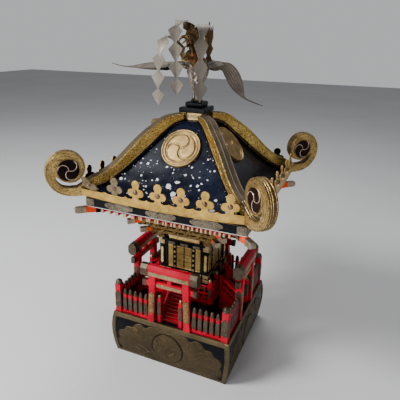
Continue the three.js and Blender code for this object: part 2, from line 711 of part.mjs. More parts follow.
function makeRightWing() {
  const upright = point(0.1, -0.2, 1);
  return makeWing([
    { l: 22, f: 0, z: 872, half: 10, across: upright }, { l: 48, f: 2, z: 871, half: 12.5, across: upright },
    { l: 66, f: 3, z: 870, half: 10, across: upright },
    { l: 82, f: 3, z: 862, half: 17, across: point(0.5, 0, 1) },
    { l: 96, f: 3, z: 845, half: 19, across: point(1, 0.1, 0.8) },
    { l: 109, f: 2, z: 822, half: 17, across: point(1, 0.2, 0.5) },
    { l: 122, f: 0, z: 800, half: 9, across: point(1, 0.2, 0.5) },
    { l: 134, f: -1, z: 784, half: 2.4, across: point(1, 0.2, 0.9) },
    { l: 158, f: -1, z: 773, half: 1.6, across: upright },
    { l: 186, f: 0, z: 763, half: 0.8, across: upright },
  ]);
}

/**
 * A tail feather: a strip cut into a chain of diamonds, rising behind the back and curving over.
 * The path is a smooth curve through its knots {l, f, z}; across gives the width's direction.
 */
function makeTailFeather(knots, across, diamonds) {
  const curve = new THREE.CatmullRomCurve3(knots.map(([l, f, z]) => point(l, f, z)));
  const stations = [];
  for (let k = 0; k <= 2 * diamonds; k += 1) {
    const lastPoint = k === 2 * diamonds;
    const half = lastPoint ? 0.8 : k % 2 === 0 ? 4.5 : 19.5;
    const place = k % 2 === 0 ? k / 2 : (k - 1) / 2 + DIAMOND_SHOULDER;
    stations.push({ at: curve.getPointAt(place / diamonds), half, across });
  }
  return strip(stations, SHEET).subtract(birdTrunk(GAP));
}

const TAIL_FEATHERS = {
  centre: [[[-6, -22, 872], [-14, -38, 912], [-22, -30, 962], [-42, 8, 984], [-60, 42, 962], [-59, 50, 900],
    [-57, 50, 850], [-56, 52, 795]], point(1, 0.15, 0), 8],
  left: [[[-20, -14, 862], [-44, -36, 900], [-62, -26, 935], [-84, 6, 945], [-101, 28, 905], [-106, 32, 840],
    [-105, 34, 765]], point(1, 0.5, 0), 7],
  right: [[[-1, -22, 852], [2, -52, 905], [3, -48, 950], [10, -8, 973], [11, 24, 968], [7, 46, 930],
    [6, 49, 870], [6, 48, 777]], point(1, -0.1, 0), 7],
};

/** The upright feather behind the right one: three diamonds that end in a hand of five points. */
function makeRearFeather() {
  const half = [[5, 858], [14, 880], [6, 897], [15, 914], [9, 926], [14, 944]];
  const hand = [[13, 972], [9, 955], [6, 971], [3, 956], [0, 985], [-3, 956], [-6, 972], [-9, 948],
    [-12, 958]];
  const outline = [...half, ...hand, ...half.slice().reverse().map(([x, z]) => [-x, z])];
  const blade = prismY(outline, -SHEET / 2, SHEET / 2);
  const root = box(-18, -2, -SHEET / 2, SHEET / 2, 858, 870);
  const place = new THREE.Matrix4().makeTranslation(30.5, 29, 0)
    .multiply(new THREE.Matrix4().makeRotationZ(THREE.MathUtils.degToRad(31)));
  return moved(blade.add(root), place).subtract(birdTrunk(GAP));
}

// ---------------------------------------------------------------- the shrine

addMesh('base', makeBase(), BLACK);
addFourfold('base_panel', SIDES, makePanel, BASE_BRASS);
addFourfold('fence', CORNERS, makeFenceCorner, RED);
addFourfold('torii', SIDES, makeTorii, RED);
addFourfold('stairs', SIDES, makeStairs, RED);
addMesh('veranda_deck', makeDeck(), RED);
addFourfold('veranda_railing', CORNERS, makeRailCorner, RED);
addMesh('sanctuary_plinth', makePlinth(), BLACK);
addFourfold('sanctuary_wall', SIDES, makeWall, BLACK);
addMesh('door_leaf_right', makeLeaf(1), BRASS);
addMesh('door_leaf_left', makeLeaf(-1), BRASS);
addMesh('bracket_complex', makeBrackets(), BRACKET);
addFourfold('hip_rafter', CORNERS, makeHip, RED);
addFourfold('rafters', SIDES, makeRafters, RED);
addMesh('roof', makeRoof(), BLACK);
addFourfold('eave_plate', SIDES, makeEavePlate, GOLD);
addFourfold('ridge', CORNERS, makeRidge, GOLD);
addFourfold('roof_medallion', SIDES, makeRoofMedallion, BRASS);
addMesh('ridge_block', makeRidgeBlock(), GOLD);
addMesh('roban', makeRoban(), BLACK);

const phoenix = new THREE.Group();
phoenix.applyMatrix4(BIRD);
shrine.add(phoenix);
addMesh('phoenix_body', makePhoenixBody(), GREY_BRASS, phoenix);
addMesh('phoenix_wing_left', makeLeftWing(), GREY_BRASS, phoenix);
addMesh('phoenix_wing_right', makeRightWing(), GREY_BRASS, phoenix);
for (const [name, [knots, across, diamonds]] of Object.entries(TAIL_FEATHERS)) {
  addMesh(`phoenix_tail_${name}`, makeTailFeather(knots, across, diamonds), GREY_BRASS, phoenix);
}
addMesh('phoenix_tail_rear', makeRearFeather(), GREY_BRASS, phoenix);

export default shrine;
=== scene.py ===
"""The looks of a small lacquered portable shrine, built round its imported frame.

Lengths below are in millimetres in the frame's axes (front -Y, right +X, up +Z); Piece.make turns
them into metres. What repeats on four sides or corners is built once and turned by quarters.
"""
import math

import bmesh
import bpy
import numpy as np
from mathutils import Matrix, Vector


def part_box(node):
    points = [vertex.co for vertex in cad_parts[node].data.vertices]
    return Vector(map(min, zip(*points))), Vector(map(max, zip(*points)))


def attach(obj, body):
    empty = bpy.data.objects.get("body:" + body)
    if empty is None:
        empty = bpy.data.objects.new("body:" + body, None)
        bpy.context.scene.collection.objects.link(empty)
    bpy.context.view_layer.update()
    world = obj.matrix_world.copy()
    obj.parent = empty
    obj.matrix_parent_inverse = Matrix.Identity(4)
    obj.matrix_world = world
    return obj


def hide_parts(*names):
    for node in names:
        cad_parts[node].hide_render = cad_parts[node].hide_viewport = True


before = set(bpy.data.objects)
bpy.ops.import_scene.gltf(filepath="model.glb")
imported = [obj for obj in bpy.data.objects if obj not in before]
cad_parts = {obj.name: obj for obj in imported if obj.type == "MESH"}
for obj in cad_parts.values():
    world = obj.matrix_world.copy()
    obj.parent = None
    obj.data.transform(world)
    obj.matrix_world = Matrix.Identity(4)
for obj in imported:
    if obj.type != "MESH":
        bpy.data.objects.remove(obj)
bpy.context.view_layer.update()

MM = 0.001
SIDES = ("front", "right", "back", "left")
CORNERS = ("front_right", "back_right", "back_left", "front_left")
QUARTERS = [Matrix.Rotation(quarter * math.pi / 2, 4, "Z") for quarter in range(4)]
ON_DIAGONAL = Matrix.Rotation(math.radians(-45), 4, "Z")
OTHER_ARM = Matrix(((0, -1, 0, 0), (-1, 0, 0, 0), (0, 0, 1, 0), (0, 0, 0, 1)))  # the corner's other side
GAP = 0.3  # between the CAD solids that touch


def low(node):
    """Lowest corner of a CAD node, in millimetres."""
    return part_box(node)[0] / MM


def high(node):
    """Highest corner of a CAD node, in millimetres."""
    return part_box(node)[1] / MM


# ------------------------------------------------------------------ camera and light

CAMERA_PLACE = (0.4601, -1.1221, 0.9427)  # metres
CAMERA_YAW = 23.86  # degrees to the left of +Y
CAMERA_PITCH = -19.26  # degrees
CAMERA_ROLL = 0.74  # degrees
CAMERA_LENS = 38.42  # millimetres
CAMERA_SHIFT = (0.0401, -0.0334)
LIGHTS = (  # name, place, target and size in metres, power in watts
    ("key", (-1.9, -1.8, 2.5), (0, 0, 0.5), 1.1, 118),
    ("fill", (2.4, -1.4, 1.3), (0, 0, 0.4), 2.0, 4),
    ("low", (-0.6, -2.3, 0.75), (0, 0, 0.35), 1.0, 16),
    ("top", (-0.3, 1.2, 3.0), (0, 0, 0.4), 1.4, 28),
)
WALL_LIGHT = ((0.10, (0.50, 0.505, 0.515)), (0.34, (0.17, 0.173, 0.18)))  # height of the view, colour
FLOOR_REACH = 9.0


def place_object(name, data):
    made = bpy.data.objects.new(name, data)
    bpy.context.scene.collection.objects.link(made)
    return made


def make_camera():
    data = bpy.data.cameras.new("camera")
    data.lens = CAMERA_LENS
    data.sensor_width = 36
    data.shift_x, data.shift_y = CAMERA_SHIFT
    data.clip_start, data.clip_end = 0.05, 50
    camera = place_object("camera", data)
    turn = (Matrix.Rotation(math.radians(CAMERA_YAW), 4, "Z")
            @ Matrix.Rotation(math.radians(90 + CAMERA_PITCH), 4, "X")
            @ Matrix.Rotation(math.radians(CAMERA_ROLL), 4, "Z"))
    camera.matrix_world = Matrix.Translation(CAMERA_PLACE) @ turn
    bpy.context.scene.camera = camera


def area_light(name, place, target, size, power):
    data = bpy.data.lights.new(name, "AREA")
    data.shape = "DISK"
    data.size = size
    data.energy = power
    direction = Vector(target) - Vector(place)
    turn = direction.to_track_quat("-Z", "Y").to_matrix().to_4x4()
    place_object(name, data).matrix_world = Matrix.Translation(place) @ turn


def make_world():
    """Light from all round: pale walls near the horizon, a dimmer ceiling."""
    world = bpy.data.worlds.new("studio")
    world.use_nodes = True
    nodes, links = world.node_tree.nodes, world.node_tree.links
    split = nodes.new("ShaderNodeSeparateXYZ")
    links.new(nodes.new("ShaderNodeTexCoord").outputs["Generated"], split.inputs[0])
    walls = nodes.new("ShaderNodeValToRGB")
    for element, (place, shade) in zip(walls.color_ramp.elements, WALL_LIGHT):
        element.position = place
        element.color = (*shade, 1)
    links.new(split.outputs["Z"], walls.inputs[0])
    links.new(walls.outputs[0], nodes["Background"].inputs["Color"])
    bpy.context.scene.world = world


def make_floor():
    mesh = bpy.data.meshes.new("floor")
    reach = FLOOR_REACH
    corners = [(-reach, -reach, 0), (reach, -reach, 0), (reach, reach, 0), (-reach, reach, 0)]
    mesh.from_pydata(corners, [], [(0, 1, 2, 3)])
    paint = Surface("floor_paint", (0.80, 0.805, 0.81), 0, 0.75)
    paint.color(paint.noise(0.9, 3), [(0.3, (0.77, 0.775, 0.78)), (0.7, (0.84, 0.845, 0.85))])
    mesh.materials.append(paint.material)
    place_object("floor", mesh)


# ------------------------------------------------------------------ materials


class Surface:
    """A node material: a Principled shader whose colour, roughness and bump come from procedural textures."""

    def __init__(self, name, color, metallic, roughness, coat=0.0, specular=0.32):
        self.name = name
        self.material = bpy.data.materials.new(name)
        self.material.use_nodes = True
        self.tree = self.material.node_tree
        self.shader = self.tree.nodes["Principled BSDF"]
        values = {"Base Color": (*color, 1), "Metallic": metallic, "Roughness": roughness,
                  "Coat Weight": coat, "Coat Roughness": 0.12, "Specular IOR Level": specular}
        for key, value in values.items():
            self.shader.inputs[key].default_value = value
        self.place = self.tree.nodes.new("ShaderNodeTexCoord").outputs["Object"]

    def link(self, source, target):
        self.tree.links.new(source, target)

    def node(self, kind, **settings):
        made = self.tree.nodes.new(kind)
        for key, value in settings.items():
            setattr(made, key, value)
        return made

    def feed(self, socket, value):
        """Links a socket to another node's output, or sets a plain value on it."""
        if hasattr(value, "is_output"):
            self.link(value, socket)
        else:
            socket.default_value = value

    def texture(self, kind, place=None, settings=None, **values):
        """A texture node at a place (else the object's own), with its numbers set; gives its outputs."""
        made = self.node(kind, **(settings or {}))
        self.link(place or self.place, made.inputs["Vector"])
        for key, value in values.items():
            made.inputs[key].default_value = value
        return made.outputs

    def noise(self, scale, detail=3.0, roughness=0.55, distortion=0.0):
        return self.texture("ShaderNodeTexNoise", Scale=scale, Detail=detail, Roughness=roughness,
                            Distortion=distortion)["Fac"]

    def voronoi(self, scale, feature="F1", randomness=1.0, place=None):
        return self.texture("ShaderNodeTexVoronoi", place, {"feature": feature}, Scale=scale,
                            Randomness=randomness)

    def math(self, operation, first, second=0.0, third=0.0, clamp=False):
        made = self.node("ShaderNodeMath", operation=operation, use_clamp=clamp)
        for socket, value in zip(made.inputs, (first, second, third)):
            self.feed(socket, value)
        return made.outputs[0]

    def ramp(self, value, stops):
        """A number mapped through (position, number) stops."""
        return self.colors(value, [(place, (shade, shade, shade)) for place, shade in stops])

    def colors(self, value, stops):
        made = self.node("ShaderNodeValToRGB")
        elements = made.color_ramp.elements
        while len(elements) < len(stops):
            elements.new(0.5)
        for element, (place, shade) in zip(elements, stops):
            element.position = place
            element.color = (*shade, 1)
        self.link(value, made.inputs["Fac"])
        return made.outputs["Color"]

    def mix(self, share, first, second):
        made = self.node("ShaderNodeMix", data_type="RGBA")
        self.feed(made.inputs[0], share)
        for socket, value in ((made.inputs[6], first), (made.inputs[7], second)):
            self.feed(socket, value if hasattr(value, "is_output") else (*value, 1))
        return made.outputs[2]

    def color(self, value, stops=None):
        self.link(self.colors(value, stops) if stops else value, self.shader.inputs["Base Color"])

    def roughness(self, value, stops):
        self.link(self.ramp(value, stops), self.shader.inputs["Roughness"])

    def bump(self, height, distance):
        """Adds relief; distance is its height in millimetres."""
        made = self.node("ShaderNodeBump")
        made.inputs["Distance"].default_value = distance * MM
        self.link(height, made.inputs["Height"])
        normal = self.shader.inputs["Normal"]
        if normal.is_linked:
            self.link(normal.links[0].from_socket, made.inputs["Normal"])
        self.link(made.outputs["Normal"], normal)

    def base_color(self):
        """What feeds the base colour so far."""
        return self.shader.inputs["Base Color"].links[0].from_socket

    def upward(self):
        """1 on faces that look up, 0 on upright and lower ones."""
        parts = self.node("ShaderNodeSeparateXYZ")
        self.link(self.node("ShaderNodeNewGeometry").outputs["Normal"], parts.inputs[0])
        return self.math("MAXIMUM", parts.outputs["Z"], 0.0)


def lacquer(name, dark, light, roughness, dust, dust_share):
    """Lacquer with cloudy depth and a soft wave in its surface; dust gathers most on its top faces."""
    paint = Surface(name, light, 0.0, roughness, coat=0.02, specular=0.10)
    clouds = paint.noise(14, 4)
    body = paint.colors(clouds, [(0.35, dark), (0.65, light)])
    grime = paint.math("MULTIPLY", paint.ramp(paint.noise(120, 5, 0.7), [(0.45, 0.15), (0.75, 1.0)]),
                       paint.math("MULTIPLY_ADD", paint.upward(), 0.7, 0.25))
    paint.color(paint.mix(paint.math("MULTIPLY", grime, dust_share), body, dust))
    paint.roughness(paint.noise(40, 4), [(0.3, roughness), (0.7, roughness + 0.16)])
    paint.bump(paint.noise(55, 2), 0.12)
    paint.bump(paint.noise(700, 3), 0.02)
    return paint


def metal(name, dark, light, roughness, metallic=0.85, patch=22.0):
    """Aged sheet metal: cloudy patina, fine speckle, uneven gloss and small dents."""
    paint = Surface(name, light, metallic, roughness)
    clouds = paint.noise(patch, 5, 0.62)
    speckle = paint.noise(420, 4, 0.7)
    blend = paint.math("MULTIPLY_ADD", speckle, 0.45, paint.math("MULTIPLY", clouds, 0.62))
    paint.color(blend, [(0.36, dark), (0.68, light)])
    paint.roughness(speckle, [(0.3, roughness - 0.08), (0.7, roughness + 0.14)])
    paint.bump(paint.noise(90, 3), 0.25)
    paint.bump(speckle, 0.05)
    return paint


def engraved(name, dark, light, roughness, scale, depth, metallic=0.9, curls=7.0):
    """Chased metal: curling scrollwork over a fine beaded ground, with dark recesses."""
    paint = metal(name, dark, light, roughness, metallic)
    swirl = paint.math("MULTIPLY", paint.noise(scale, 1.5, 0.45, 1.1), curls)
    lines = paint.ramp(paint.math("PINGPONG", swirl, 0.5), [(0.06, 0.0), (0.20, 1.0)])
    beads = paint.ramp(paint.voronoi(scale * 5)["Distance"], [(0.25, 1.0), (0.7, 0.0)])
    relief = paint.math("MULTIPLY_ADD", beads, 0.45, paint.math("MULTIPLY", lines, 0.6))
    worn = paint.ramp(relief, [(0.05, 0.0), (0.85, 1.0)])
    paint.color(paint.mix(worn, tuple(shade * 0.5 for shade in dark), paint.base_color()))
    paint.bump(relief, depth)
    return paint


def roof_flecks(paint, amount):
    """Ragged specks in three sizes; amount says how large they may grow at a place."""
    flecks = 0.0
    for scale, radius in ((50, 0.27), (80, 0.25), (130, 0.22)):
        shaken = paint.node("ShaderNodeVectorMath", operation="SCALE")
        paint.link(paint.texture("ShaderNodeTexNoise", Scale=scale * 1.6)["Color"], shaken.inputs[0])
        shaken.inputs["Scale"].default_value = 0.006
        place = paint.node("ShaderNodeVectorMath", operation="ADD")
        paint.link(paint.place, place.inputs[0])
        paint.link(shaken.outputs[0], place.inputs[1])
        cells = paint.voronoi(scale, place=place.outputs[0])
        chance = paint.node("ShaderNodeSeparateColor")
        paint.link(cells["Color"], chance.inputs[0])
        spared = paint.math("SUBTRACT", chance.outputs[0], 0.54, clamp=True)
        size = paint.math("MULTIPLY", paint.math("MULTIPLY", spared, radius / 0.32), amount)
        flecks = paint.math("MAXIMUM", flecks, paint.math("GREATER_THAN", size, cells["Distance"]))
    return flecks


def roof_lacquer():
    """Blue-black lacquer of the roof: white flecks crowd the lower front slope, brown stains the others."""
    paint = Surface("roof_lacquer", (0.004, 0.006, 0.016), 0.0, 0.24, coat=0.05, specular=0.16)
    body = paint.colors(paint.noise(9, 5, 0.6), [(0.32, (0.0015, 0.0022, 0.005)),
                                                 (0.7, (0.006, 0.010, 0.028))])
    parts = paint.node("ShaderNodeSeparateXYZ")
    paint.link(paint.place, parts.inputs[0])
    x, y, z = parts.outputs
    ahead = paint.math("SUBTRACT", paint.math("MULTIPLY", y, -1.0), paint.math("ABSOLUTE", x))
    front = paint.ramp(ahead, [(0.0, 0.0), (0.02, 1.0)])
    lower = paint.ramp(paint.math("MULTIPLY_ADD", z, -6.0, 4.55), [(0.05, 0.12), (0.55, 1.0)])
    blots = paint.ramp(paint.noise(17, 5, 0.7), [(0.5, 0.0), (0.68, 1.0)])
    stain = paint.math("MULTIPLY", blots, paint.math("SUBTRACT", 1.0, front))
    body = paint.mix(paint.math("MULTIPLY", stain, 0.5), body, (0.040, 0.018, 0.009))
    haze = paint.ramp(paint.noise(30, 6, 0.75), [(0.45, 0.0), (0.8, 1.0)])
    body = paint.mix(paint.math("MULTIPLY", haze, 0.10), body, (0.04, 0.042, 0.050))
    crowd = paint.ramp(paint.noise(26, 2), [(0.38, 0.35), (0.50, 1.0)])
    share = paint.math("MULTIPLY_ADD", front, 0.88, 0.12)
    flecks = roof_flecks(paint, paint.math("MULTIPLY", paint.math("MULTIPLY", crowd, lower), share))
    paint.color(paint.mix(flecks, body, (0.86, 0.88, 0.92)))
    paint.roughness(paint.noise(34, 5, 0.7), [(0.3, 0.17), (0.75, 0.42)])
    paint.bump(paint.noise(24, 3), 0.35)
    paint.bump(flecks, 0.15)
    paint.bump(paint.noise(600, 2), 0.02)
    return paint


def door_sheet():
    """Chased brass sheet of the doors: a diaper of small lozenges with dark outlines."""
    paint = metal("door_brass", (0.34, 0.21, 0.045), (1.0, 0.70, 0.22), 0.32)
    turned = paint.node("ShaderNodeMapping")
    turned.inputs["Rotation"].default_value = (0, math.radians(45), 0)
    paint.link(paint.place, turned.inputs["Vector"])
    lozenges = paint.voronoi(260, "DISTANCE_TO_EDGE", 0.0, turned.outputs[0])["Distance"]
    lines = paint.ramp(lozenges, [(0.04, 0.0), (0.16, 1.0)])
    paint.color(paint.mix(paint.math("SUBTRACT", 1.0, lines), paint.base_color(), (0.08, 0.05, 0.02)))
    paint.bump(lines, 0.35)
    return paint


def base_sheet():
    """Dull brown sheet brass of the base, with long rubbed streaks and darker grime."""
    paint = metal("base_sheet", (0.026, 0.018, 0.010), (0.105, 0.074, 0.036), 0.50, 0.75, 11)
    body = paint.base_color()
    veins = paint.math("PINGPONG", paint.math("MULTIPLY", paint.noise(11, 1.5, 0.45, 1.4), 8.0), 0.5)
    rubbed = paint.ramp(veins, [(0.0, 1.0), (0.07, 0.0)])
    paint.color(paint.mix(paint.math("MULTIPLY", rubbed, 0.5), body, (0.24, 0.165, 0.080)))
    return paint


def make_materials():
    red_dust = (0.50, 0.20, 0.17)
    return {surface.name: surface.material for surface in (
        lacquer("red_lacquer", (0.36, 0.0004, 0.013), (0.60, 0.0008, 0.028), 0.34, red_dust, 0.02),
        # Painted shade: a darker copy of the red lacquer, for red parts that sit in shadow.
        lacquer("painted_shade_red", (0.18, 0.0004, 0.007), (0.32, 0.0008, 0.015), 0.38, red_dust, 0.03),
        lacquer("orange_red", (0.80, 0.045, 0.006), (0.95, 0.085, 0.012), 0.38, red_dust, 0.04),
        lacquer("black_lacquer", (0.0012, 0.0013, 0.002), (0.0045, 0.0050, 0.009), 0.20,
                (0.05, 0.045, 0.04), 0.05),
        roof_lacquer(),
        base_sheet(),
        metal("frame_brass", (0.042, 0.031, 0.015), (0.155, 0.117, 0.058), 0.46, 0.8, 16),
        metal("dark_bronze", (0.034, 0.027, 0.018), (0.135, 0.108, 0.074), 0.42, 0.8, 60),
        metal("pale_brass", (0.24, 0.17, 0.075), (0.62, 0.48, 0.25), 0.36, 0.9, 60),
        metal("eave_gold", (0.29, 0.165, 0.032), (0.72, 0.465, 0.125), 0.38, 0.88, 60),
        engraved("ridge_gold", (0.46, 0.25, 0.038), (1.0, 0.72, 0.22), 0.26, 55, 0.5),
        metal("ridge_top", (0.045, 0.034, 0.021), (0.165, 0.125, 0.080), 0.55, 0.6, 30),
        engraved("scroll_brass", (0.24, 0.15, 0.040), (0.88, 0.61, 0.22), 0.36, 60, 0.25, 0.9, 5.0),
        engraved("scroll_side", (0.075, 0.042, 0.018), (0.38, 0.235, 0.10), 0.44, 70, 0.3, 0.8, 5.0),
        metal("scroll_rim", (0.13, 0.085, 0.035), (0.46, 0.32, 0.14), 0.38, 0.9, 40),
        metal("medallion_brass", (0.20, 0.125, 0.042), (0.58, 0.40, 0.17), 0.42, 0.85, 60),
        metal("dull_brass", (0.085, 0.062, 0.032), (0.36, 0.27, 0.15), 0.44, 0.8, 40),
        metal("rivet_copper", (0.10, 0.055, 0.040), (0.34, 0.205, 0.150), 0.36, 0.85, 90),
        metal("wire_copper", (0.38, 0.24, 0.17), (0.74, 0.55, 0.44), 0.32, 0.85, 90),
        lacquer("disc_maroon", (0.004, 0.001, 0.001), (0.012, 0.003, 0.003), 0.40, (0.05, 0.03, 0.03), 0.03),
        engraved("plaque_silver", (0.07, 0.055, 0.034), (0.36, 0.30, 0.21), 0.42, 80, 0.35),
        metal("silver_line", (0.45, 0.43, 0.40), (0.80, 0.78, 0.74), 0.35, 0.5, 60),
        metal("tip_gold", (0.38, 0.20, 0.11), (0.78, 0.52, 0.34), 0.40, 0.6, 90),
        engraved("bracket_gold", (0.075, 0.042, 0.012), (0.36, 0.225, 0.070), 0.44, 110, 0.25, 0.6),
        # Painted shade: a near black copy of the gold, for the bracket core in the shadow behind the
        # brackets.
        metal("painted_shade_gold", (0.020, 0.013, 0.006), (0.085, 0.055, 0.022), 0.6, 0.4, 60),
        engraved("engraved_strip", (0.15, 0.105, 0.045), (0.66, 0.50, 0.27), 0.36, 120, 0.3, 0.85, 6.0),
        engraved("plate_brass", (0.12, 0.085, 0.030), (0.46, 0.345, 0.140), 0.38, 90, 0.2, 0.85),
        metal("pale_bronze", (0.16, 0.125, 0.08), (0.46, 0.37, 0.26), 0.38, 0.85, 60),
        metal("beam_gold", (0.55, 0.35, 0.09), (1.0, 0.74, 0.28), 0.28, 0.9, 40),
        door_sheet(),
        metal("phoenix_sheet", (0.10, 0.085, 0.068), (0.29, 0.255, 0.210), 0.48, 0.65, 14),
        engraved("phoenix_chased", (0.14, 0.12, 0.10), (0.50, 0.46, 0.40), 0.36, 120, 0.4, 0.85),
        metal("phoenix_wing", (0.055, 0.046, 0.036), (0.19, 0.162, 0.128), 0.46, 0.75, 30),
        metal("phoenix_dark", (0.050, 0.042, 0.036), (0.18, 0.155, 0.13), 0.38, 0.85, 60),
        metal("phoenix_red", (0.11, 0.032, 0.012), (0.30, 0.10, 0.035), 0.42, 0.6, 70),
        metal("phoenix_brown", (0.040, 0.024, 0.010), (0.19, 0.118, 0.048), 0.38, 0.85, 60),
        metal("phoenix_body_sheet", (0.11, 0.085, 0.065), (0.42, 0.350, 0.290), 0.28, 0.9, 26),
        lacquer("bare_wood", (0.20, 0.125, 0.065), (0.34, 0.225, 0.125), 0.62, (0.3, 0.26, 0.2), 0.15),
    )}


# ------------------------------------------------------------------ shapes: (points, faces), in millimetres


def arc(across, along, radius, start, end, count):
    """Points on an arc; angles are in degrees, from the first axis towards the second."""
    turns = [math.radians(start + (end - start) * k / count) for k in range(count + 1)]
    return [(across + radius * math.cos(turn), along + radius * math.sin(turn)) for turn in turns]


def full_turn(count):
    """Angles evenly spaced round a circle."""
    return [2 * math.pi * k / count for k in range(count)]


def span(side, inner, outer):
    """The two distances from the middle as a range on one side of it (side is 1 or -1)."""
    return sorted((side * inner, side * outer))


def smooth(points, per_span, closed=False):
    """A curve through points, with per_span steps between two of them."""
    points = [np.array(point, float) for point in points]
    last = len(points) - 1
    curve = []
    for k in range(last + 1 if closed else last):
        if closed:
            a, b, c, d = (points[(k + j) % (last + 1)] for j in (-1, 0, 1, 2))
        else:
            a, b, c, d = (points[min(max(k + j, 0), last)] for j in (-1, 0, 1, 2))
        for step in range(per_span):
            t = step / per_span
            curve.append(0.5 * (2 * b + (c - a) * t + (2 * a - 5 * b + 4 * c - d) * t ** 2
                                + (3 * b - a - 3 * c + d) * t ** 3))
    if not closed:
        curve.append(points[last])
    return [tuple(point) for point in curve]


def block(x0, x1, y0, y1, z0, z1):
    points = [(x, y, z) for z in (z0, z1) for y in (y0, y1) for x in (x0, x1)]
    return points, [(0, 2, 3, 1), (4, 5, 7, 6), (0, 1, 5, 4), (2, 6, 7, 3), (0, 4, 6, 2), (1, 3, 7, 5)]


def post(x, y, half_x, half_y, z0, z1):
    """A block round an upright axis."""
    return block(x - half_x, x + half_x, y - half_y, y + half_y, z0, z1)


def prism(outline, start, end, axis="y"):
    """An outline pushed along an axis: (x, z) along y, (y, z) along x or (x, y) along z."""
    order = {"x": (2, 0, 1), "y": (0, 2, 1), "z": (0, 1, 2)}[axis]
    count = len(outline)
    points = [tuple((a, b, t)[k] for k in order) for t in (start, end) for a, b in outline]
    sides = [(k, (k + 1) % count, (k + 1) % count + count, k + count) for k in range(count)]
    return points, sides + [tuple(range(count)), tuple(range(count, 2 * count))]


def loft(rings, closed_ends=True):
    """A skin over rings of points, each ring counted the same way round."""
    count = len(rings[0])
    points = [tuple(point) for ring in rings for point in ring]
    faces = []
    for k in range(len(rings) - 1):
        for j in range(count):
            a, b = k * count + j, k * count + (j + 1) % count
            faces.append((a, b, b + count, a + count))
    if closed_ends:
        faces += [tuple(range(count)), tuple(range(len(points) - count, len(points)))]
    return points, faces


def lathe(profile, x, y, sides=24):
    """A turned form on an upright axis through (x, y); the profile is (radius, z) from axis to axis."""
    rings = [[(x + radius * math.cos(turn), y + radius * math.sin(turn), z) for turn in full_turn(sides)]
             for radius, z in profile]
    return loft(rings, closed_ends=False)


def grid_faces(columns, rows):
    """Faces of a sheet whose points run along the rows first."""
    return [(c * rows + r, (c + 1) * rows + r, (c + 1) * rows + r + 1, c * rows + r + 1)
            for c in range(columns - 1) for r in range(rows - 1)]


def square_sweep(profile, per_side=1, lift=0.0, loop=False):
    """A square form round the upright axis; profile points are (half width, z, share of the corner lift)."""
    rings = []
    for half, z, *share in profile:
        ring = []
        for side in range(4):
            for k in range(per_side):
                along = 2 * k / per_side - 1
                rise = (share[0] if share else 0) * lift * abs(along * half / ROOF_LIFT_HALF) ** 3
                x, y = along * half, -half
                for _ in range(side):
                    x, y = -y, x
                ring.append((x, y, z + rise))
        rings.append(ring)
    if loop:
        rings.append(rings[0])
    return loft(rings, closed_ends=False)


def tube(path, radius, sides=6):
    """A round bar along a path of points."""
    path = [Vector(point) for point in path]
    rings = []
    side = Vector((0, 0, 1))
    for k, point in enumerate(path):
        along = (path[min(k + 1, len(path) - 1)] - path[max(k - 1, 0)]).normalized()
        if abs(side.dot(along)) < 0.99:
            side = (side - along * side.dot(along)).normalized()
        else:
            side = along.orthogonal()
        other = along.cross(side)
        rings.append([point + side * radius * math.cos(turn) + other * radius * math.sin(turn)
                      for turn in full_turn(sides)])
    return loft(rings)


def offset_outline(outline, distance):
    """A closed outline moved outwards (or inwards when distance is negative); it runs counter-clockwise."""
    moved = []
    count = len(outline)
    for k in range(count):
        (ax, ay), (bx, by), (cx, cy) = outline[k - 1], outline[k], outline[(k + 1) % count]
        first = Vector((by - ay, ax - bx)).normalized()
        second = Vector((cy - by, bx - cx)).normalized()
        middle = first + second
        middle = middle / max(middle.length_squared / 2, 0.35)
        moved.append((bx + middle.x * distance, by + middle.y * distance))
    return moved


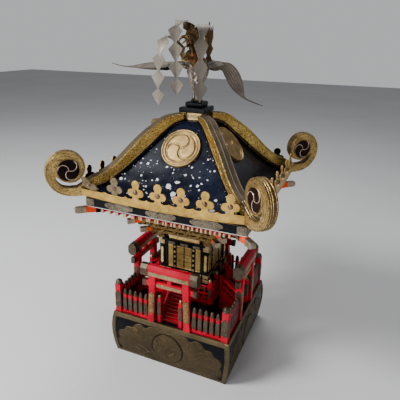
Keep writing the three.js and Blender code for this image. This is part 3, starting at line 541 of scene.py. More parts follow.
class Piece:
    """A piece built of shapes, each with its own material, joined into one mesh."""

    def __init__(self, name, place=None):
        """place is the matrix of every shape that is added without one of its own."""
        self.name = name
        self.place = place
        self.mesh = bmesh.new()
        self.materials = []

    def slot_of(self, material):
        if material not in self.materials:
            self.materials.append(material)
        return self.materials.index(material)

    def add(self, shape, material, bevel=0.0, matrix=None, segments=2, sharp=38, solid=True, sharp_bevel=25):
        """Adds a shape. material is a name, or a function of a face's centre and normal that gives one."""
        part = bmesh.new()
        corners = [part.verts.new(point) for point in shape[0]]
        for face in shape[1]:
            part.faces.new([corners[k] for k in face])
        bmesh.ops.remove_doubles(part, verts=part.verts, dist=1e-4)
        bmesh.ops.dissolve_degenerate(part, dist=1e-4, edges=part.edges)
        if solid:
            bmesh.ops.recalc_face_normals(part, faces=part.faces)
        if bevel:
            edges = [edge for edge in part.edges
                     if edge.is_manifold and edge.calc_face_angle(0) > math.radians(sharp_bevel)]
            bmesh.ops.bevel(part, geom=edges, offset=bevel, offset_type="OFFSET", segments=segments,
                            profile=0.5, affect="EDGES", clamp_overlap=True)
        part.normal_update()
        self.dress(part, material, sharp)
        matrix = self.place if matrix is None else matrix
        if matrix is not None:
            part.transform(matrix)
            if matrix.determinant() < 0:
                bmesh.ops.reverse_faces(part, faces=part.faces)
        carrier = bpy.data.meshes.new("carrier")
        part.to_mesh(carrier)
        part.free()
        self.mesh.from_mesh(carrier)
        bpy.data.meshes.remove(carrier)

    def dress(self, part, material, sharp):
        """Gives every face its material and marks the edges that stay sharp."""
        for face in part.faces:
            chosen = material(face.calc_center_median(), face.normal) if callable(material) else material
            face.material_index = self.slot_of(chosen)
            face.smooth = True
        for edge in part.edges:
            edge.smooth = edge.is_manifold and edge.calc_face_angle(0) < math.radians(sharp)

    def make(self, slot, nodes, body="root", name=None, quarter=0):
        """Turns the piece into an object in place of CAD nodes, turned by a quarter as often as asked."""
        name = name or self.name
        data = bpy.data.meshes.new(name)
        self.mesh.to_mesh(data)
        data.transform(QUARTERS[quarter] @ Matrix.Scale(MM, 4))
        for material in self.materials:
            data.materials.append(MATERIALS[material])
        made = place_object(name, data)
        made.modifiers.new("normals", "WEIGHTED_NORMAL").keep_sharp = True
        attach(made, body)
        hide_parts(*nodes)

    def fourfold(self, names, slot, start=0):
        """The piece once for each side or corner, in place of the CAD nodes of those names."""
        for quarter, name in list(enumerate(names))[start:]:
            node = f"{self.name}_{name}"
            self.make(slot, [node], name=f"{node}_fine", quarter=quarter)


def smoothstep(value, edge0, edge1):
    share = np.clip((value - edge0) / (edge1 - edge0), 0, 1)
    return share * share * (3 - 2 * share)


def comma_lines(x, y, radius, start=175.0):
    """Distance to the three arcs that part a disc into commas chasing anticlockwise."""
    distance = np.full(np.shape(x), 1e3)
    for turn in range(3):
        angle = math.radians(start - 120 * turn)
        tip_x, tip_y = radius * math.cos(angle), radius * math.sin(angle)
        side = tip_x * y - tip_y * x
        along = np.abs(np.hypot(x - tip_x / 2, y - tip_y / 2) - radius / 2)
        ends = np.minimum(np.hypot(x, y), np.hypot(x - tip_x, y - tip_y))
        distance = np.minimum(distance, np.where(side < 0, along, ends))
    return distance


# ------------------------------------------------------------------ base

BASE_TOP = high("base").z
BASE_BULGE = ((0, 180.0), (45, 187.0), (95, 190.0), (142, 184.0))  # height, half width
PANEL_DISC = 49.0
PANEL_MIDDLE = 67.0
SHEET_RISE = 1.7
BAND_PROUD = 1.15
# Chased spirals: centre across and up, radius, 1 or -1 for the way they turn.
BASE_TURNS = ((-118, 64, 30, 1), (-104, 36, 14, -1), (-82, 96, 15, 1), (-148, 62, 15, -1))
FIELD_BEAD = (172.5, 10.5, 127.5, 12.0)  # reach, bottom, top and corner radius of the bead's outline


def base_half(z):
    """Half width of the bulging base at a height: the cubic through four points."""
    total = 0.0
    for at, half in BASE_BULGE:
        share = 1.0
        for other, _other_half in BASE_BULGE:
            if other != at:
                share = share * (z - other) / (at - other)
        total = total + half * share
    return total


def mirrored(half):
    """A closed outline from its right half, which starts and ends on the middle line."""
    return half + [(-x, z) for x, z in reversed(half[1:-1])]


def panel_outline():
    return mirrored([(0, 9), (154, 9), (157, 18), (168, 25), (172, 43), (166, 56), (170, 71), (163, 85),
                     (147, 91), (139, 104), (119, 107), (107, 120), (89, 124), (72, 116), (56, 127),
                     (0, 128)])


def outline_distance(x, z, outline):
    """Distance to an outline, positive inside."""
    best = np.full(x.shape, 1e3)
    inside = np.zeros(x.shape, bool)
    for k, (bx, bz) in enumerate(outline):
        ax, az = outline[k - 1]
        dx, dz = bx - ax, bz - az
        share = np.clip(((x - ax) * dx + (z - az) * dz) / (dx * dx + dz * dz), 0, 1)
        best = np.minimum(best, np.hypot(x - ax - share * dx, z - az - share * dz))
        if dz:
            inside ^= ((az > z) != (bz > z)) & (x < dx * (z - az) / dz + ax)
    return np.where(inside, best, -best)


def groove(distance, width, depth):
    """A soft groove along a line, by the distance from it."""
    return -depth * np.exp(-(distance / width) ** 2)


def panel_scrolls(x, z, side):
    """Chased spirals and leaf lines on one half of the sheet, as a height below it."""
    rise = np.zeros(x.shape)
    for turn_x, turn_z, radius, way in BASE_TURNS:
        dx, dz = x + side * turn_x, z - turn_z
        angle = np.arctan2(dz, dx * side * way)
        spiral = np.hypot(dx, dz) / radius * 3.1 - (angle + math.pi) / (2 * math.pi)
        near = np.abs((spiral + 0.5) % 1 - 0.5) * radius / 3.1
        fade = smoothstep(radius * 1.04 - np.hypot(dx, dz), 0, 3)
        rise = rise + groove(near, 1.3, 0.9) * fade
    clear = smoothstep(np.hypot(x, z - PANEL_MIDDLE), 54, 58)
    for lean, start in ((0.62, 60), (0.50, 86), (-0.75, 128)):
        line = (z - 20) - lean * (side * x - start) - 6 * np.sin(x / 17)
        rise = rise + groove(line, 1.5, 0.8) * clear
    return rise


def panel_relief(x, z):
    """Height of the sheet over the lacquer: cloud-edged plate, chased leaf scrolls and the roundel."""
    edge = outline_distance(x, z, smooth(panel_outline(), 4, closed=True))
    rise = smoothstep(edge, -0.6, 1.2) * (SHEET_RISE + 0.6) - 0.6
    rise = rise + groove(edge - 4.5, 1.0, 0.8) + panel_scrolls(x, z, -1) + panel_scrolls(x, z, 1)
    reach = np.hypot(x, z - PANEL_MIDDLE)
    commas = comma_lines(x, z - PANEL_MIDDLE, PANEL_DISC - 6)
    wire = smoothstep(commas, -2.2, 0.2) * 1.2
    roundel = SHEET_RISE + 0.5 + wire + groove(reach - PANEL_DISC + 5, 0.9, 0.5)
    rise = np.where(reach < PANEL_DISC + 1.4, roundel, rise)
    ring = np.abs(reach - PANEL_DISC - 0.6)
    return np.where(ring < 1.5, -0.6, rise)


def build_panel():
    piece = Piece("base_panel")
    step = 1.5
    columns = np.arange(-171, 171.01, step)
    rows = np.arange(9, 132.01, step)
    x, z = np.meshgrid(columns, rows, indexing="ij")
    rise = panel_relief(x, z)
    depth = base_half(z) + rise
    points = list(zip(x.ravel(), (-depth).ravel(), z.ravel()))
    shown = (rise > -0.55).ravel()
    faces = [face for face in grid_faces(*x.shape) if shown[list(face)].any()]
    piece.add((points, faces), "base_sheet", sharp=60, solid=False)
    loose = [vert for vert in piece.mesh.verts if not vert.link_faces]
    bmesh.ops.delete(piece.mesh, geom=loose, context="VERTS")
    return piece


def base_band(z0, z1, steps):
    """A brass band round all four sides, from one height to another."""
    heights = [z0 + (z1 - z0) * k / steps for k in range(steps + 1)]
    outside = [(base_half(z) + BAND_PROUD, z) for z in heights]
    return square_sweep(outside + [(base_half(z) - 0.4, z) for z in reversed(heights)], loop=True)


def base_box():
    """The lacquered box, open below: its shape, and a finish that leaves the inside as bare wood."""
    inner, ceiling = 166.0, BASE_TOP - 12
    wall = [(base_half(z), z) for z in reversed([BASE_TOP * k / 14 for k in range(15)])]

    def finish(place, normal):
        inside = place.z < ceiling + 1 and max(abs(place.x), abs(place.y)) < inner + 0.1
        return "bare_wood" if inside or normal.z < -0.9 else "black_lacquer"

    return square_sweep([(0, BASE_TOP)] + wall + [(inner, 0), (inner, ceiling), (0, ceiling)]), finish


def base_edge(width=11.0):
    """A brass angle piece over an upright edge."""
    rings = []
    for z in [1 + (BASE_TOP - 1) * k / 14 for k in range(15)]:
        inside, outside = base_half(z) - 0.4, base_half(z) + 1.3
        rings.append([(inside - width, -outside, z), (outside, -outside, z), (outside, -inside + width, z),
                      (inside, -inside + width, z), (inside, -inside, z), (inside - width, -inside, z)])
    return loft(rings)


def field_bead():
    """A thin raised bead that frames the field of a side, round at its corners."""
    reach, bottom, top, corner = FIELD_BEAD
    across, low_turn, high_turn = reach - corner, bottom + corner, top - corner
    path = (arc(across, low_turn, corner, -90, 0, 4) + arc(across, high_turn, corner, 0, 90, 4)
            + arc(-across, high_turn, corner, 90, 180, 4) + arc(-across, low_turn, corner, 180, 270, 4))
    return tube([(x, -base_half(z) - 0.1, z) for x, z in path + path[:1]], 0.9, 5)


def build_base():
    piece = Piece("base")
    piece.add(*base_box())
    for turn in QUARTERS:
        piece.add(base_edge(), "frame_brass", bevel=0.5, matrix=turn, sharp_bevel=50)
    for band in ((BASE_TOP - 13, BASE_TOP, 3), (2.2, 8.5, 2)):
        piece.add(base_band(*band), "frame_brass", bevel=0.4, sharp_bevel=50)
    half = base_half(BASE_TOP)
    rim = [(half + BAND_PROUD, BASE_TOP), (half + 0.6, BASE_TOP + 0.9), (178.5, BASE_TOP + 0.9),
           (178.5, BASE_TOP - 0.3)]
    piece.add(square_sweep(rim, loop=True), "frame_brass")
    for turn in QUARTERS:
        piece.add(field_bead(), "black_lacquer", matrix=turn)
    # The plate at the front right top corner has been renewed and is brighter.
    plate = block(half - 9, half + 1.7, -half - 1.7, -half + 3, BASE_TOP - 14, BASE_TOP + 1.2)
    piece.add(plate, "pale_brass", bevel=0.8)
    return piece


# ------------------------------------------------------------------ terrace: fence, gates, stairs

GROUND = low("torii_front").z
FENCE_LINE = 172.0
FENCE_CENTRE = 171.0
PICKETS = (78.0, 149.0, 5)  # first, last, how many
PICKET_HALF, PICKET_DEEP = 6.25, 5.0
POST_HALF, POST_HEAD = 9.5, 239.0


def picket_positions():
    first, last, count = PICKETS
    return [first + (last - first) * k / (count - 1) for k in range(count)]


def add_picket(piece, x, y, matrix):
    """A square picket: red foot, shaped bronze sheath with a collar, red band and domed bronze cap."""
    half, deep = PICKET_HALF, PICKET_DEEP
    piece.add(post(x, y, half - 0.5, deep, GROUND + 8, 210), "red_lacquer", bevel=0.7, matrix=matrix)
    sheath = [(-half, 161), (-half + 2, 156), (0, 153), (half - 2, 156), (half, 161), (half, 185),
              (half - 1.6, 189), (half, 192), (half - 1.2, 196), (-half + 1.2, 196), (-half, 192),
              (-half + 1.6, 189), (-half, 185)]
    sheath = prism([(x + dx, z) for dx, z in sheath], y - deep - 0.7, y + deep + 0.7)
    piece.add(sheath, "dark_bronze", bevel=0.6, matrix=matrix)
    cap = [(0, 207.5), (half + 0.1, 207.5), (half + 0.1, 211), (half - 0.4, 213), (half - 0.2, 216),
           (half * 0.8, 220.5), (half * 0.5, 223.6), (half * 0.2, 225), (0, 225.3)]
    piece.add(lathe(cap, x, y, 14), "dark_bronze", matrix=matrix)


def lance_plate(x0, x1, z0, z1, y, thick=0.9):
    """A flat plate with pointed, waisted ends, on a face that looks to -Y."""
    middle, half = (x0 + x1) / 2, (x1 - x0) / 2
    tip = half * 1.2
    side = [(half * 0.35, z0 + tip * 0.25), (half, z0 + tip), (half * 0.86, (z0 + z1) / 2), (half, z1 - tip),
            (half * 0.45, z1 - tip * 0.35)]
    outline = mirrored([(0, z0)] + side + [(0, z1)])
    return prism([(middle + dx, z) for dx, z in outline], y - thick, y + 0.6)


def rivet(x, y, z, radius):
    """A low domed rivet head on a face that looks to -Y."""
    profile = ((radius, -0.3), (radius, 0.2), (radius * 0.75, radius * 0.42), (radius * 0.3, radius * 0.6))
    return loft([[(x + reach * math.cos(turn), y - height, z + reach * math.sin(turn))
                  for turn in full_turn(10)] for reach, height in profile])


def add_fence_arm(piece, matrix):
    """Pickets on a foot rail with a thin rail behind them."""
    for x in picket_positions():
        add_picket(piece, x, -FENCE_LINE, matrix)
    ends = (PICKETS[0] - PICKET_HALF - 2, FENCE_CENTRE - 5)
    foot = block(*ends, -FENCE_LINE - 5, -FENCE_LINE + 5, GROUND, GROUND + 9)
    piece.add(foot, "red_lacquer", bevel=0.7, matrix=matrix)
    # The rail behind the pickets is painted darker red: painted shade.
    rail = block(*ends, -FENCE_LINE + 1.5, -FENCE_LINE + 4, 199, 204)
    piece.add(rail, "painted_shade_red", bevel=0.5, matrix=matrix)
    for x in picket_positions():
        shoe = [(x - 5.5, 151), (x + 5.5, 151), (x + 4.5, 157), (x - 4.5, 157)]
        piece.add(prism(shoe, -FENCE_LINE - 5.4, -FENCE_LINE + 5.4), "red_lacquer", bevel=0.5, matrix=matrix)


def add_fence_post(piece):
    """The corner post, with a lobed bronze plate on each face and a domed cap."""
    c, half = FENCE_CENTRE, POST_HALF
    piece.add(post(c, -c, half, half, GROUND, POST_HEAD), "red_lacquer", bevel=0.9)
    piece.add(post(c, -c, half + 0.5, half + 0.5, GROUND, GROUND + 10), "red_lacquer", bevel=0.8)
    lobes = [(-half, 172), (-half, 163), (-half * 0.45, 163), (-half * 0.3, 158), (half * 0.3, 158),
             (half * 0.45, 163), (half, 163), (half, 172), (half * 0.8, 180), (half, 188), (half, 207),
             (half * 0.55, 211), (half * 0.5, 215), (0, 219), (-half * 0.5, 215), (-half * 0.55, 211),
             (-half, 207), (-half, 188), (-half * 0.8, 180)]
    for quarter in QUARTERS:
        turn = Matrix.Translation((c, -c, 0)) @ quarter
        piece.add(prism(lobes, -half - 0.9, -half + 0.5), "dark_bronze", bevel=0.4, matrix=turn)
        piece.add(rivet(0, -half - 0.9, 183, 1.3), "pale_brass", matrix=turn)
    cap = [(0, 237), (10.4, 237), (10.8, 240), (9.6, 241.6), (10.2, 244), (8.8, 248), (5.5, 251),
           (2, 252.2), (0, 252.4)]
    piece.add(lathe(cap, c, -c, 20), "dark_bronze")


def build_fence():
    piece = Piece("fence")
    for matrix in (None, OTHER_ARM):
        add_fence_arm(piece, matrix)
    add_fence_post(piece)
    return piece


TORII_LINE = 173.0
GATE_FOOT, GATE_HEAD, GATE_POST = 58.0, 52.0, 20.0
BEAM = (292.0, 330.0, 88.0, 13.5)  # bottom, top, half length, half depth
TIE_LOW, TIE_HIGH, TIE_REACH, TIE_DEEP = 261.0, 279.0, 85.0, 6.0
GATE_FACES = [Matrix.Translation((0, -TORII_LINE, 0)) @ Matrix.Scale(way, 4, (0, 1, 0)) for way in (1, -1)]


def beam_section(grow):
    """Bevelled section of the top beam as (y, z), grown outwards by a little."""
    bottom, top, _reach, deep = BEAM
    bevel = 8.0
    section = [(-deep + bevel, bottom), (deep - bevel, bottom), (deep, bottom + bevel),
               (deep, top - bevel - 2), (deep - bevel, top), (-deep + bevel, top), (-deep, top - bevel - 2),
               (-deep, bottom + bevel)]
    return [(y - TORII_LINE, z) for y, z in offset_outline(section, grow)]


def add_gate_post(piece, side):
    """A leaning post with a red shoe, and a pointed plate on each face."""
    half, head = GATE_POST / 2, BEAM[0] + 6
    foot_x, head_x = side * GATE_FOOT, side * GATE_HEAD
    outline = [(foot_x - half, GROUND), (foot_x + half, GROUND), (head_x + half, head), (head_x - half, head)]
    piece.add(prism(outline, -TORII_LINE - half, -TORII_LINE + half), "red_lacquer", bevel=1.2)
    lean = math.atan2(side * (GATE_FOOT - GATE_HEAD), head - GROUND)
    upright = Matrix.Translation((foot_x, 0, GROUND)) @ Matrix.Rotation(-lean, 4, "Y")
    shoe = post(0, -TORII_LINE, half + 0.8, half + 0.8, 0, 12)
    piece.add(shoe, "red_lacquer", bevel=0.8, matrix=upright)
    for face in GATE_FACES:
        place = upright @ face
        piece.add(lance_plate(-8.6, 8.6, 26, 104, -half), "plate_brass", bevel=0.35, matrix=place)
        for z in (40, 65, 90):
            piece.add(rivet(0, -half - 0.9, z, 2.0), "pale_brass", matrix=place)
        inner = lance_plate(-5.5, 5.5, 32, 98, -half - 0.7, 0.7)
        piece.add(inner, "plate_brass", bevel=0.3, matrix=place)
    for way in (-1, 1):
        turn = Matrix.Rotation(way * math.pi / 2, 4, "Z")
        turn = upright @ Matrix.Translation((0, -TORII_LINE, 0)) @ turn
        piece.add(lance_plate(-8, 8, 26, 100, -half), "dark_bronze", bevel=0.35, matrix=turn)


def add_beam_shoes(piece, side):
    """Bronze shoes on the ends of both beams, a collar beside the upper one and a wedge on the tie."""
    reach = BEAM[2]
    shoe = prism(beam_section(0.8), *span(side, reach - 20, reach + 0.6), "x")
    piece.add(shoe, "dark_bronze", bevel=0.8, sharp_bevel=30)
    collar = prism(beam_section(1.3), *span(side, reach - 22, reach - 19), "x")
    piece.add(collar, "frame_brass", bevel=0.4, sharp_bevel=30)
    tie = block(*span(side, TIE_REACH - 12, TIE_REACH + 0.5), -TORII_LINE - TIE_DEEP - 0.8,
                -TORII_LINE + TIE_DEEP + 0.8, TIE_LOW - 0.8, TIE_HIGH + 0.8)
    piece.add(tie, "dark_bronze", bevel=0.7)
    wedge = block(*span(side, 62.5, 68), -TORII_LINE - 4, -TORII_LINE + 4, TIE_HIGH - 3, TIE_HIGH + 4)
    piece.add(wedge, "red_lacquer", bevel=0.5)


def pointed_strip(reach, bottom, middle, top):
    """A flat strip with pointed ends."""
    return [(-reach, bottom), (reach, bottom), (reach + 3, middle), (reach, top), (-reach, top),
            (-reach - 3, middle)]


def build_torii():
    piece = Piece("torii")
    bottom, _top, reach, deep = BEAM
    for side in (-1, 1):
        add_gate_post(piece, side)
        add_beam_shoes(piece, side)
    piece.add(prism(beam_section(0), -reach + 1, reach - 1, "x"), "red_lacquer", bevel=1.0)
    tie = post(0, -TORII_LINE, TIE_REACH - 1, TIE_DEEP, TIE_LOW, TIE_HIGH)
    piece.add(tie, "red_lacquer", bevel=0.9)
    strut = [(-7, TIE_HIGH - 1), (7, TIE_HIGH - 1), (5, bottom + 2), (-5, bottom + 2)]
    piece.add(prism(strut, -TORII_LINE - 4.5, -TORII_LINE + 4.5), "red_lacquer", bevel=0.6)
    for face in GATE_FACES:
        for outline, y in ((pointed_strip(61, 300, 306, 312.5), deep),
                           (pointed_strip(38, 263.5, 268.5, 274), TIE_DEEP)):
            piece.add(prism(outline, -y - 0.9, -y + 0.5), "engraved_strip", bevel=0.35, matrix=face)
    return piece


STAIR_HALF, STAIR_STEPS = 31.2, 8
STAIR_FOOT, STAIR_HEAD = 164.0, 103.0
DECK_HALF, DECK_LOW, DECK_HIGH, DECK_FOOT = 102.0, 194.0, 205.0, 84.0
NEWEL_X, NEWEL_HALF, NEWEL_FACE, NEWEL_TOP = 34.0, 5.5, 175.5, 226.0


def add_post_finial(piece, x, y, z, radius):
    """A small turned finial on a post."""
    profile = [(0, z), (radius, z), (radius * 1.05, z + 1.5), (radius * 0.62, z + 2.4),
               (radius * 0.75, z + 4), (radius * 0.95, z + 5.5), (radius * 0.6, z + 8), (0, z + 9.6)]
    piece.add(lathe(profile, x, y, 12), "pale_brass")


def add_treads(piece):
    """Treads over risers painted darker red as painted shade; each nosing has three bronze plates."""
    run = (STAIR_FOOT - STAIR_HEAD) / STAIR_STEPS
    rise = (DECK_HIGH - GROUND) / STAIR_STEPS
    for k in range(STAIR_STEPS):
        front = -STAIR_FOOT + run * k
        z = GROUND + rise * (k + 1)
        # The riser is painted darker red: painted shade.
        riser = block(-STAIR_HALF, STAIR_HALF, front + 1.2, -STAIR_HEAD - 0.4, z - rise, z - 2.4)
        piece.add(riser, "painted_shade_red", bevel=0.3)
        tread = block(-STAIR_HALF, STAIR_HALF, front, front + run + 1.5, z - 3, z)
        piece.add(tread, "red_lacquer", bevel=0.5)
        for x0, x1, y, drop in ((-27, -15.5, 2.0, 2.0), (15.5, 27, 2.0, 2.0), (-13, 13, 1.6, 1.6)):
            plate = block(x0, x1, front - 0.5, front + y, z - drop, z + 0.4)
            piece.add(plate, "dark_bronze", bevel=0.3)


def stair_board(x, half, foot, head):
    """A board up one side of the stairs: (bottom, top) heights at its foot and its head."""
    back = -STAIR_HEAD - 0.4
    outline = [(-STAIR_FOOT, foot[0]), (back, head[0]), (back, head[1]), (-STAIR_FOOT, foot[1])]
    return prism(outline, x - half, x + half, "x")


def add_stair_side(piece, x):
    """Stringer, handrail, middle rail, newel post and the short post at the head."""
    for half, foot, head, bevel in ((3, (GROUND, GROUND + 24), (GROUND, DECK_HIGH + 12), 0.6),
                                    (3, (207, 214), (254, 261), 0.9), (2, (184, 188), (231, 235), 0.5)):
        piece.add(stair_board(x, half, foot, head), "red_lacquer", bevel=bevel)
    middle = -(NEWEL_FACE + STAIR_FOOT) / 2
    newel = block(x - NEWEL_HALF, x + NEWEL_HALF, -NEWEL_FACE, -STAIR_FOOT + 0.5, GROUND, NEWEL_TOP)
    piece.add(newel, "red_lacquer", bevel=0.7)
    for quarter in QUARTERS:
        turn = Matrix.Translation((x, middle, 0)) @ quarter
        plate = lance_plate(-5, 5, 164, 214, -NEWEL_HALF - 0.2, 0.6)
        piece.add(plate, "dark_bronze", bevel=0.3, matrix=turn)
    add_post_finial(piece, x, middle, NEWEL_TOP - 0.5, 5.2)
    head_post = block(x - 3.5, x + 3.5, -STAIR_HEAD - 6, -STAIR_HEAD - 0.4, DECK_HIGH, 262)
    piece.add(head_post, "red_lacquer", bevel=0.6)


def build_stairs():
    piece = Piece("stairs")
    add_treads(piece)
    for side in (-1, 1):
        add_stair_side(piece, side * NEWEL_X)
    return piece


# ------------------------------------------------------------------ veranda


def build_deck():
    piece = Piece("veranda_deck")
    piece.add(post(0, 0, DECK_HALF, DECK_HALF, DECK_LOW, DECK_HIGH), "red_lacquer", bevel=1.0)
    foot = [(0, GROUND), (DECK_FOOT, GROUND), (DECK_FOOT, DECK_LOW + 0.5), (0, DECK_LOW + 0.5)]
    piece.add(square_sweep(foot), "black_lacquer", bevel=0.8)
    for turn in QUARTERS:
        for side in (-1, 1):
            for x in (side * 80, side * 62, side * 43):
                # The brackets under the deck are painted darker red: painted shade.
                bracket = block(x - 4, x + 4, -DECK_HALF + 2, -DECK_FOOT + 1, DECK_LOW - 8, DECK_LOW + 0.5)
                piece.add(bracket, "painted_shade_red", bevel=0.6, matrix=turn)
            plate = post(side * 66, -DECK_FOOT, 14, 1, GROUND + 12, DECK_LOW - 12)
            piece.add(plate, "dark_bronze", bevel=0.5, matrix=turn)
    return piece


RAIL_LINE = 93.0
RAIL_END = 39.0


def add_railing_post(piece, x, y, half, matrix):
    """A red post with a pointed bronze plate on each face."""
    floor = DECK_HIGH + GAP
    piece.add(post(x, y, half, half, floor, 266), "red_lacquer", bevel=0.7, matrix=matrix)
    for quarter in QUARTERS:
        turn = Matrix.Translation((x, y, 0)) @ quarter
        turn = turn if matrix is None else matrix @ turn
        plate = lance_plate(-half + 0.5, half - 0.5, 215, 247, -half - 0.1, 0.5)
        piece.add(plate, "dark_bronze", bevel=0.3, matrix=turn)


def add_railing_arm(piece, matrix):
    """Three rails, two struts and the bronze plates where they cross."""
    floor = DECK_HIGH + GAP
    for z0, z1, deep in ((floor, 213, 4.5), (221, 226, 2.5), (245, 250.5, 3.0)):
        rail = block(RAIL_END, RAIL_LINE, -RAIL_LINE - deep, -RAIL_LINE + deep, z0, z1)
        piece.add(rail, "red_lacquer", bevel=0.6, matrix=matrix)
    for x in (57, 75):
        piece.add(post(x, -RAIL_LINE, 2, 2, 212, 246), "red_lacquer", bevel=0.4, matrix=matrix)
    for x in (48, 66, 84):
        upper = post(x, -RAIL_LINE, 3.4, 3.4, 244.6, 251)
        piece.add(upper, "dark_bronze", bevel=0.5, matrix=matrix)
        lower = post(x, -RAIL_LINE, 3.2, 5.1, floor + 0.4, 213.6)
        piece.add(lower, "dark_bronze", bevel=0.4, matrix=matrix)
    add_railing_post(piece, RAIL_END, -RAIL_LINE, 4.5, matrix)


def build_railing():
    piece = Piece("veranda_railing")
    add_railing_arm(piece, None)
    add_railing_post(piece, RAIL_LINE, -RAIL_LINE, 5.0, None)
    add_railing_arm(piece, OTHER_ARM)
    for x, y in ((RAIL_END, -RAIL_LINE), (RAIL_LINE, -RAIL_END), (RAIL_LINE, -RAIL_LINE)):
        add_post_finial(piece, x, y, 265.5, 4.6)
    return piece


# ------------------------------------------------------------------ sanctuary

PLINTH_TOP = high("sanctuary_plinth").z
BODY_TOP = high("sanctuary_wall_front").z
COLUMN, COLUMN_HALF = 71.0, 8.0
WALL_OUT, WALL_IN = 73.0, 67.0
DOOR_HALF, DOOR_LOW, DOOR_HIGH, LEAF_OUT = 25.6, 276.2, 351.8, 73.8
WALL_FLOOR = PLINTH_TOP + GAP
WALL_EDGE = COLUMN - COLUMN_HALF - GAP


def build_plinth():
    piece = Piece("sanctuary_plinth")
    base = DECK_HIGH + GAP
    profile = [(0, base), (84, base), (84, 214), (81, 217), (78, 219), (78, 247), (81, 249.5), (84, 251.5),
               (84, PLINTH_TOP), (0, PLINTH_TOP)]
    piece.add(square_sweep(profile), "black_lacquer", bevel=0.7, sharp_bevel=20)
    for turn in QUARTERS:
        for x in (-56, 0, 56):
            piece.add(block(x - 19, x + 19, -79, -77, 223, 243), "dark_bronze", bevel=0.5, matrix=turn)
            piece.add(block(x - 17, x + 17, -79.6, -77, 225, 241), "engraved_strip", bevel=0.4, matrix=turn)
        for x in (-74, -28, 28, 74):
            piece.add(block(x - 9, x + 9, -84.8, -83, 252.5, 261), "pale_brass", bevel=0.5, matrix=turn)
            piece.add(block(x - 9, x + 9, -84.8, -70, 261, PLINTH_TOP + 0.25), "pale_brass", matrix=turn)
    return piece


def add_leaf_relief(piece, x0, x1):
    """A door leaf: black frame, brass sheet in it, bright rails at top and bottom, two bars and a boss."""
    y, inset = -LEAF_OUT, 1.6
    piece.add(block(x0, x1, y, y + 4, DOOR_LOW, DOOR_HIGH), "black_lacquer", bevel=0.3)
    sheet = block(x0 + inset, x1 - inset, y - 0.7, y + 1, DOOR_LOW + 7, DOOR_HIGH - 3)
    piece.add(sheet, "door_brass", bevel=0.3)
    for z0, z1 in ((DOOR_LOW + 1.2, DOOR_LOW + 6), (DOOR_HIGH - 2.6, DOOR_HIGH - 0.8)):
        piece.add(block(x0 + 1, x1 - 1, y - 0.9, y + 1, z0, z1), "beam_gold", bevel=0.4)
    for z in (DOOR_LOW + 26, DOOR_LOW + 50):
        bar = block(x0 + inset, x1 - inset, y - 1.1, y + 1, z - 0.8, z + 0.8)
        piece.add(bar, "door_brass", bevel=0.3)
    piece.add(rivet((x0 + x1) / 2, y - 0.7, DOOR_LOW + 38, 2.6), "pale_brass")


def add_doorway(piece):
    """The front wall's four lacquered panels round its doorway."""
    for x0, x1 in ((-WALL_EDGE, -DOOR_HALF - 0.5), (DOOR_HALF + 0.5, WALL_EDGE + 1)):
        panel = block(x0, x1, -WALL_OUT, -WALL_IN, WALL_FLOOR, BODY_TOP)
        piece.add(panel, "black_lacquer", bevel=0.4)
    for z0, z1 in ((WALL_FLOOR, DOOR_LOW - 0.6), (DOOR_HIGH + 0.6, BODY_TOP)):
        panel = block(-DOOR_HALF - 1, DOOR_HALF + 1, -WALL_OUT, -WALL_IN, z0, z1)
        piece.add(panel, "black_lacquer", bevel=0.3)


def add_blind_doors(piece):
    """A closed wall with the relief of two door leaves."""
    wall = block(-WALL_EDGE, WALL_EDGE + 1, -WALL_OUT, -WALL_IN, WALL_FLOOR, BODY_TOP)
    piece.add(wall, "black_lacquer", bevel=0.4)
    add_leaf_relief(piece, -DOOR_HALF, -0.3)
    add_leaf_relief(piece, 0.3, DOOR_HALF)


def add_wall_trim(piece, side):
    """Posts, the narrow brass sheet between them and small plates, on one half of a wall."""
    for inner, outer in ((27, 34), (54, WALL_EDGE)):
        stile = block(*span(side, inner, outer), -76, -WALL_IN, WALL_FLOOR, BODY_TOP)
        piece.add(stile, "black_lacquer", bevel=0.6)
    ends = span(side, 37, 52)
    piece.add(block(*ends, -WALL_OUT - 1, -WALL_OUT + 1, 277, 351), "door_brass", bevel=0.4)
    for z in (277, 349):
        piece.add(block(*ends, -WALL_OUT - 1.5, -WALL_OUT + 1, z, z + 3), "beam_gold", bevel=0.4)
    for z in (281, 298, 314, 330, 347):
        piece.add(post(side * 30.5, -76, 3, 1, z - 3.6, z + 3.6), "pale_brass", bevel=0.5)
    for centre, half, z0, z1, finish in ((50, 8, 264, 273, "pale_brass"),
                                         (40, 11, 355, 363, "plaque_silver")):
        plate = block(side * centre - half, side * centre + half, -77.8, -76, z0, z1)
        piece.add(plate, finish, bevel=0.5)


def add_column(piece):
    piece.add(post(COLUMN, -COLUMN, COLUMN_HALF, COLUMN_HALF, WALL_FLOOR, BODY_TOP), "black_lacquer",
              bevel=1.2, segments=3)


def add_column_plates(piece):
    """A long pointed plaque between two cap bands, on both outer faces of the corner column."""
    for quarter in QUARTERS[:2]:
        turn = Matrix.Translation((COLUMN, -COLUMN, 0)) @ quarter
        piece.add(lance_plate(-4.2, 4.2, 286, 342, -COLUMN_HALF, 0.8), "beam_gold", bevel=0.3, matrix=turn)
        for z0, z1 in ((WALL_FLOOR + 0.5, WALL_FLOOR + 12), (BODY_TOP - 13, BODY_TOP - 0.5)):
            band = block(-8.2, 8.2, -COLUMN_HALF - 0.7, -COLUMN_HALF + 1, z0, z1)
            piece.add(band, "pale_brass", bevel=0.5, matrix=turn)
        piece.add(rivet(0, -COLUMN_HALF - 0.8, 314, 1.7), "pale_brass", matrix=turn)


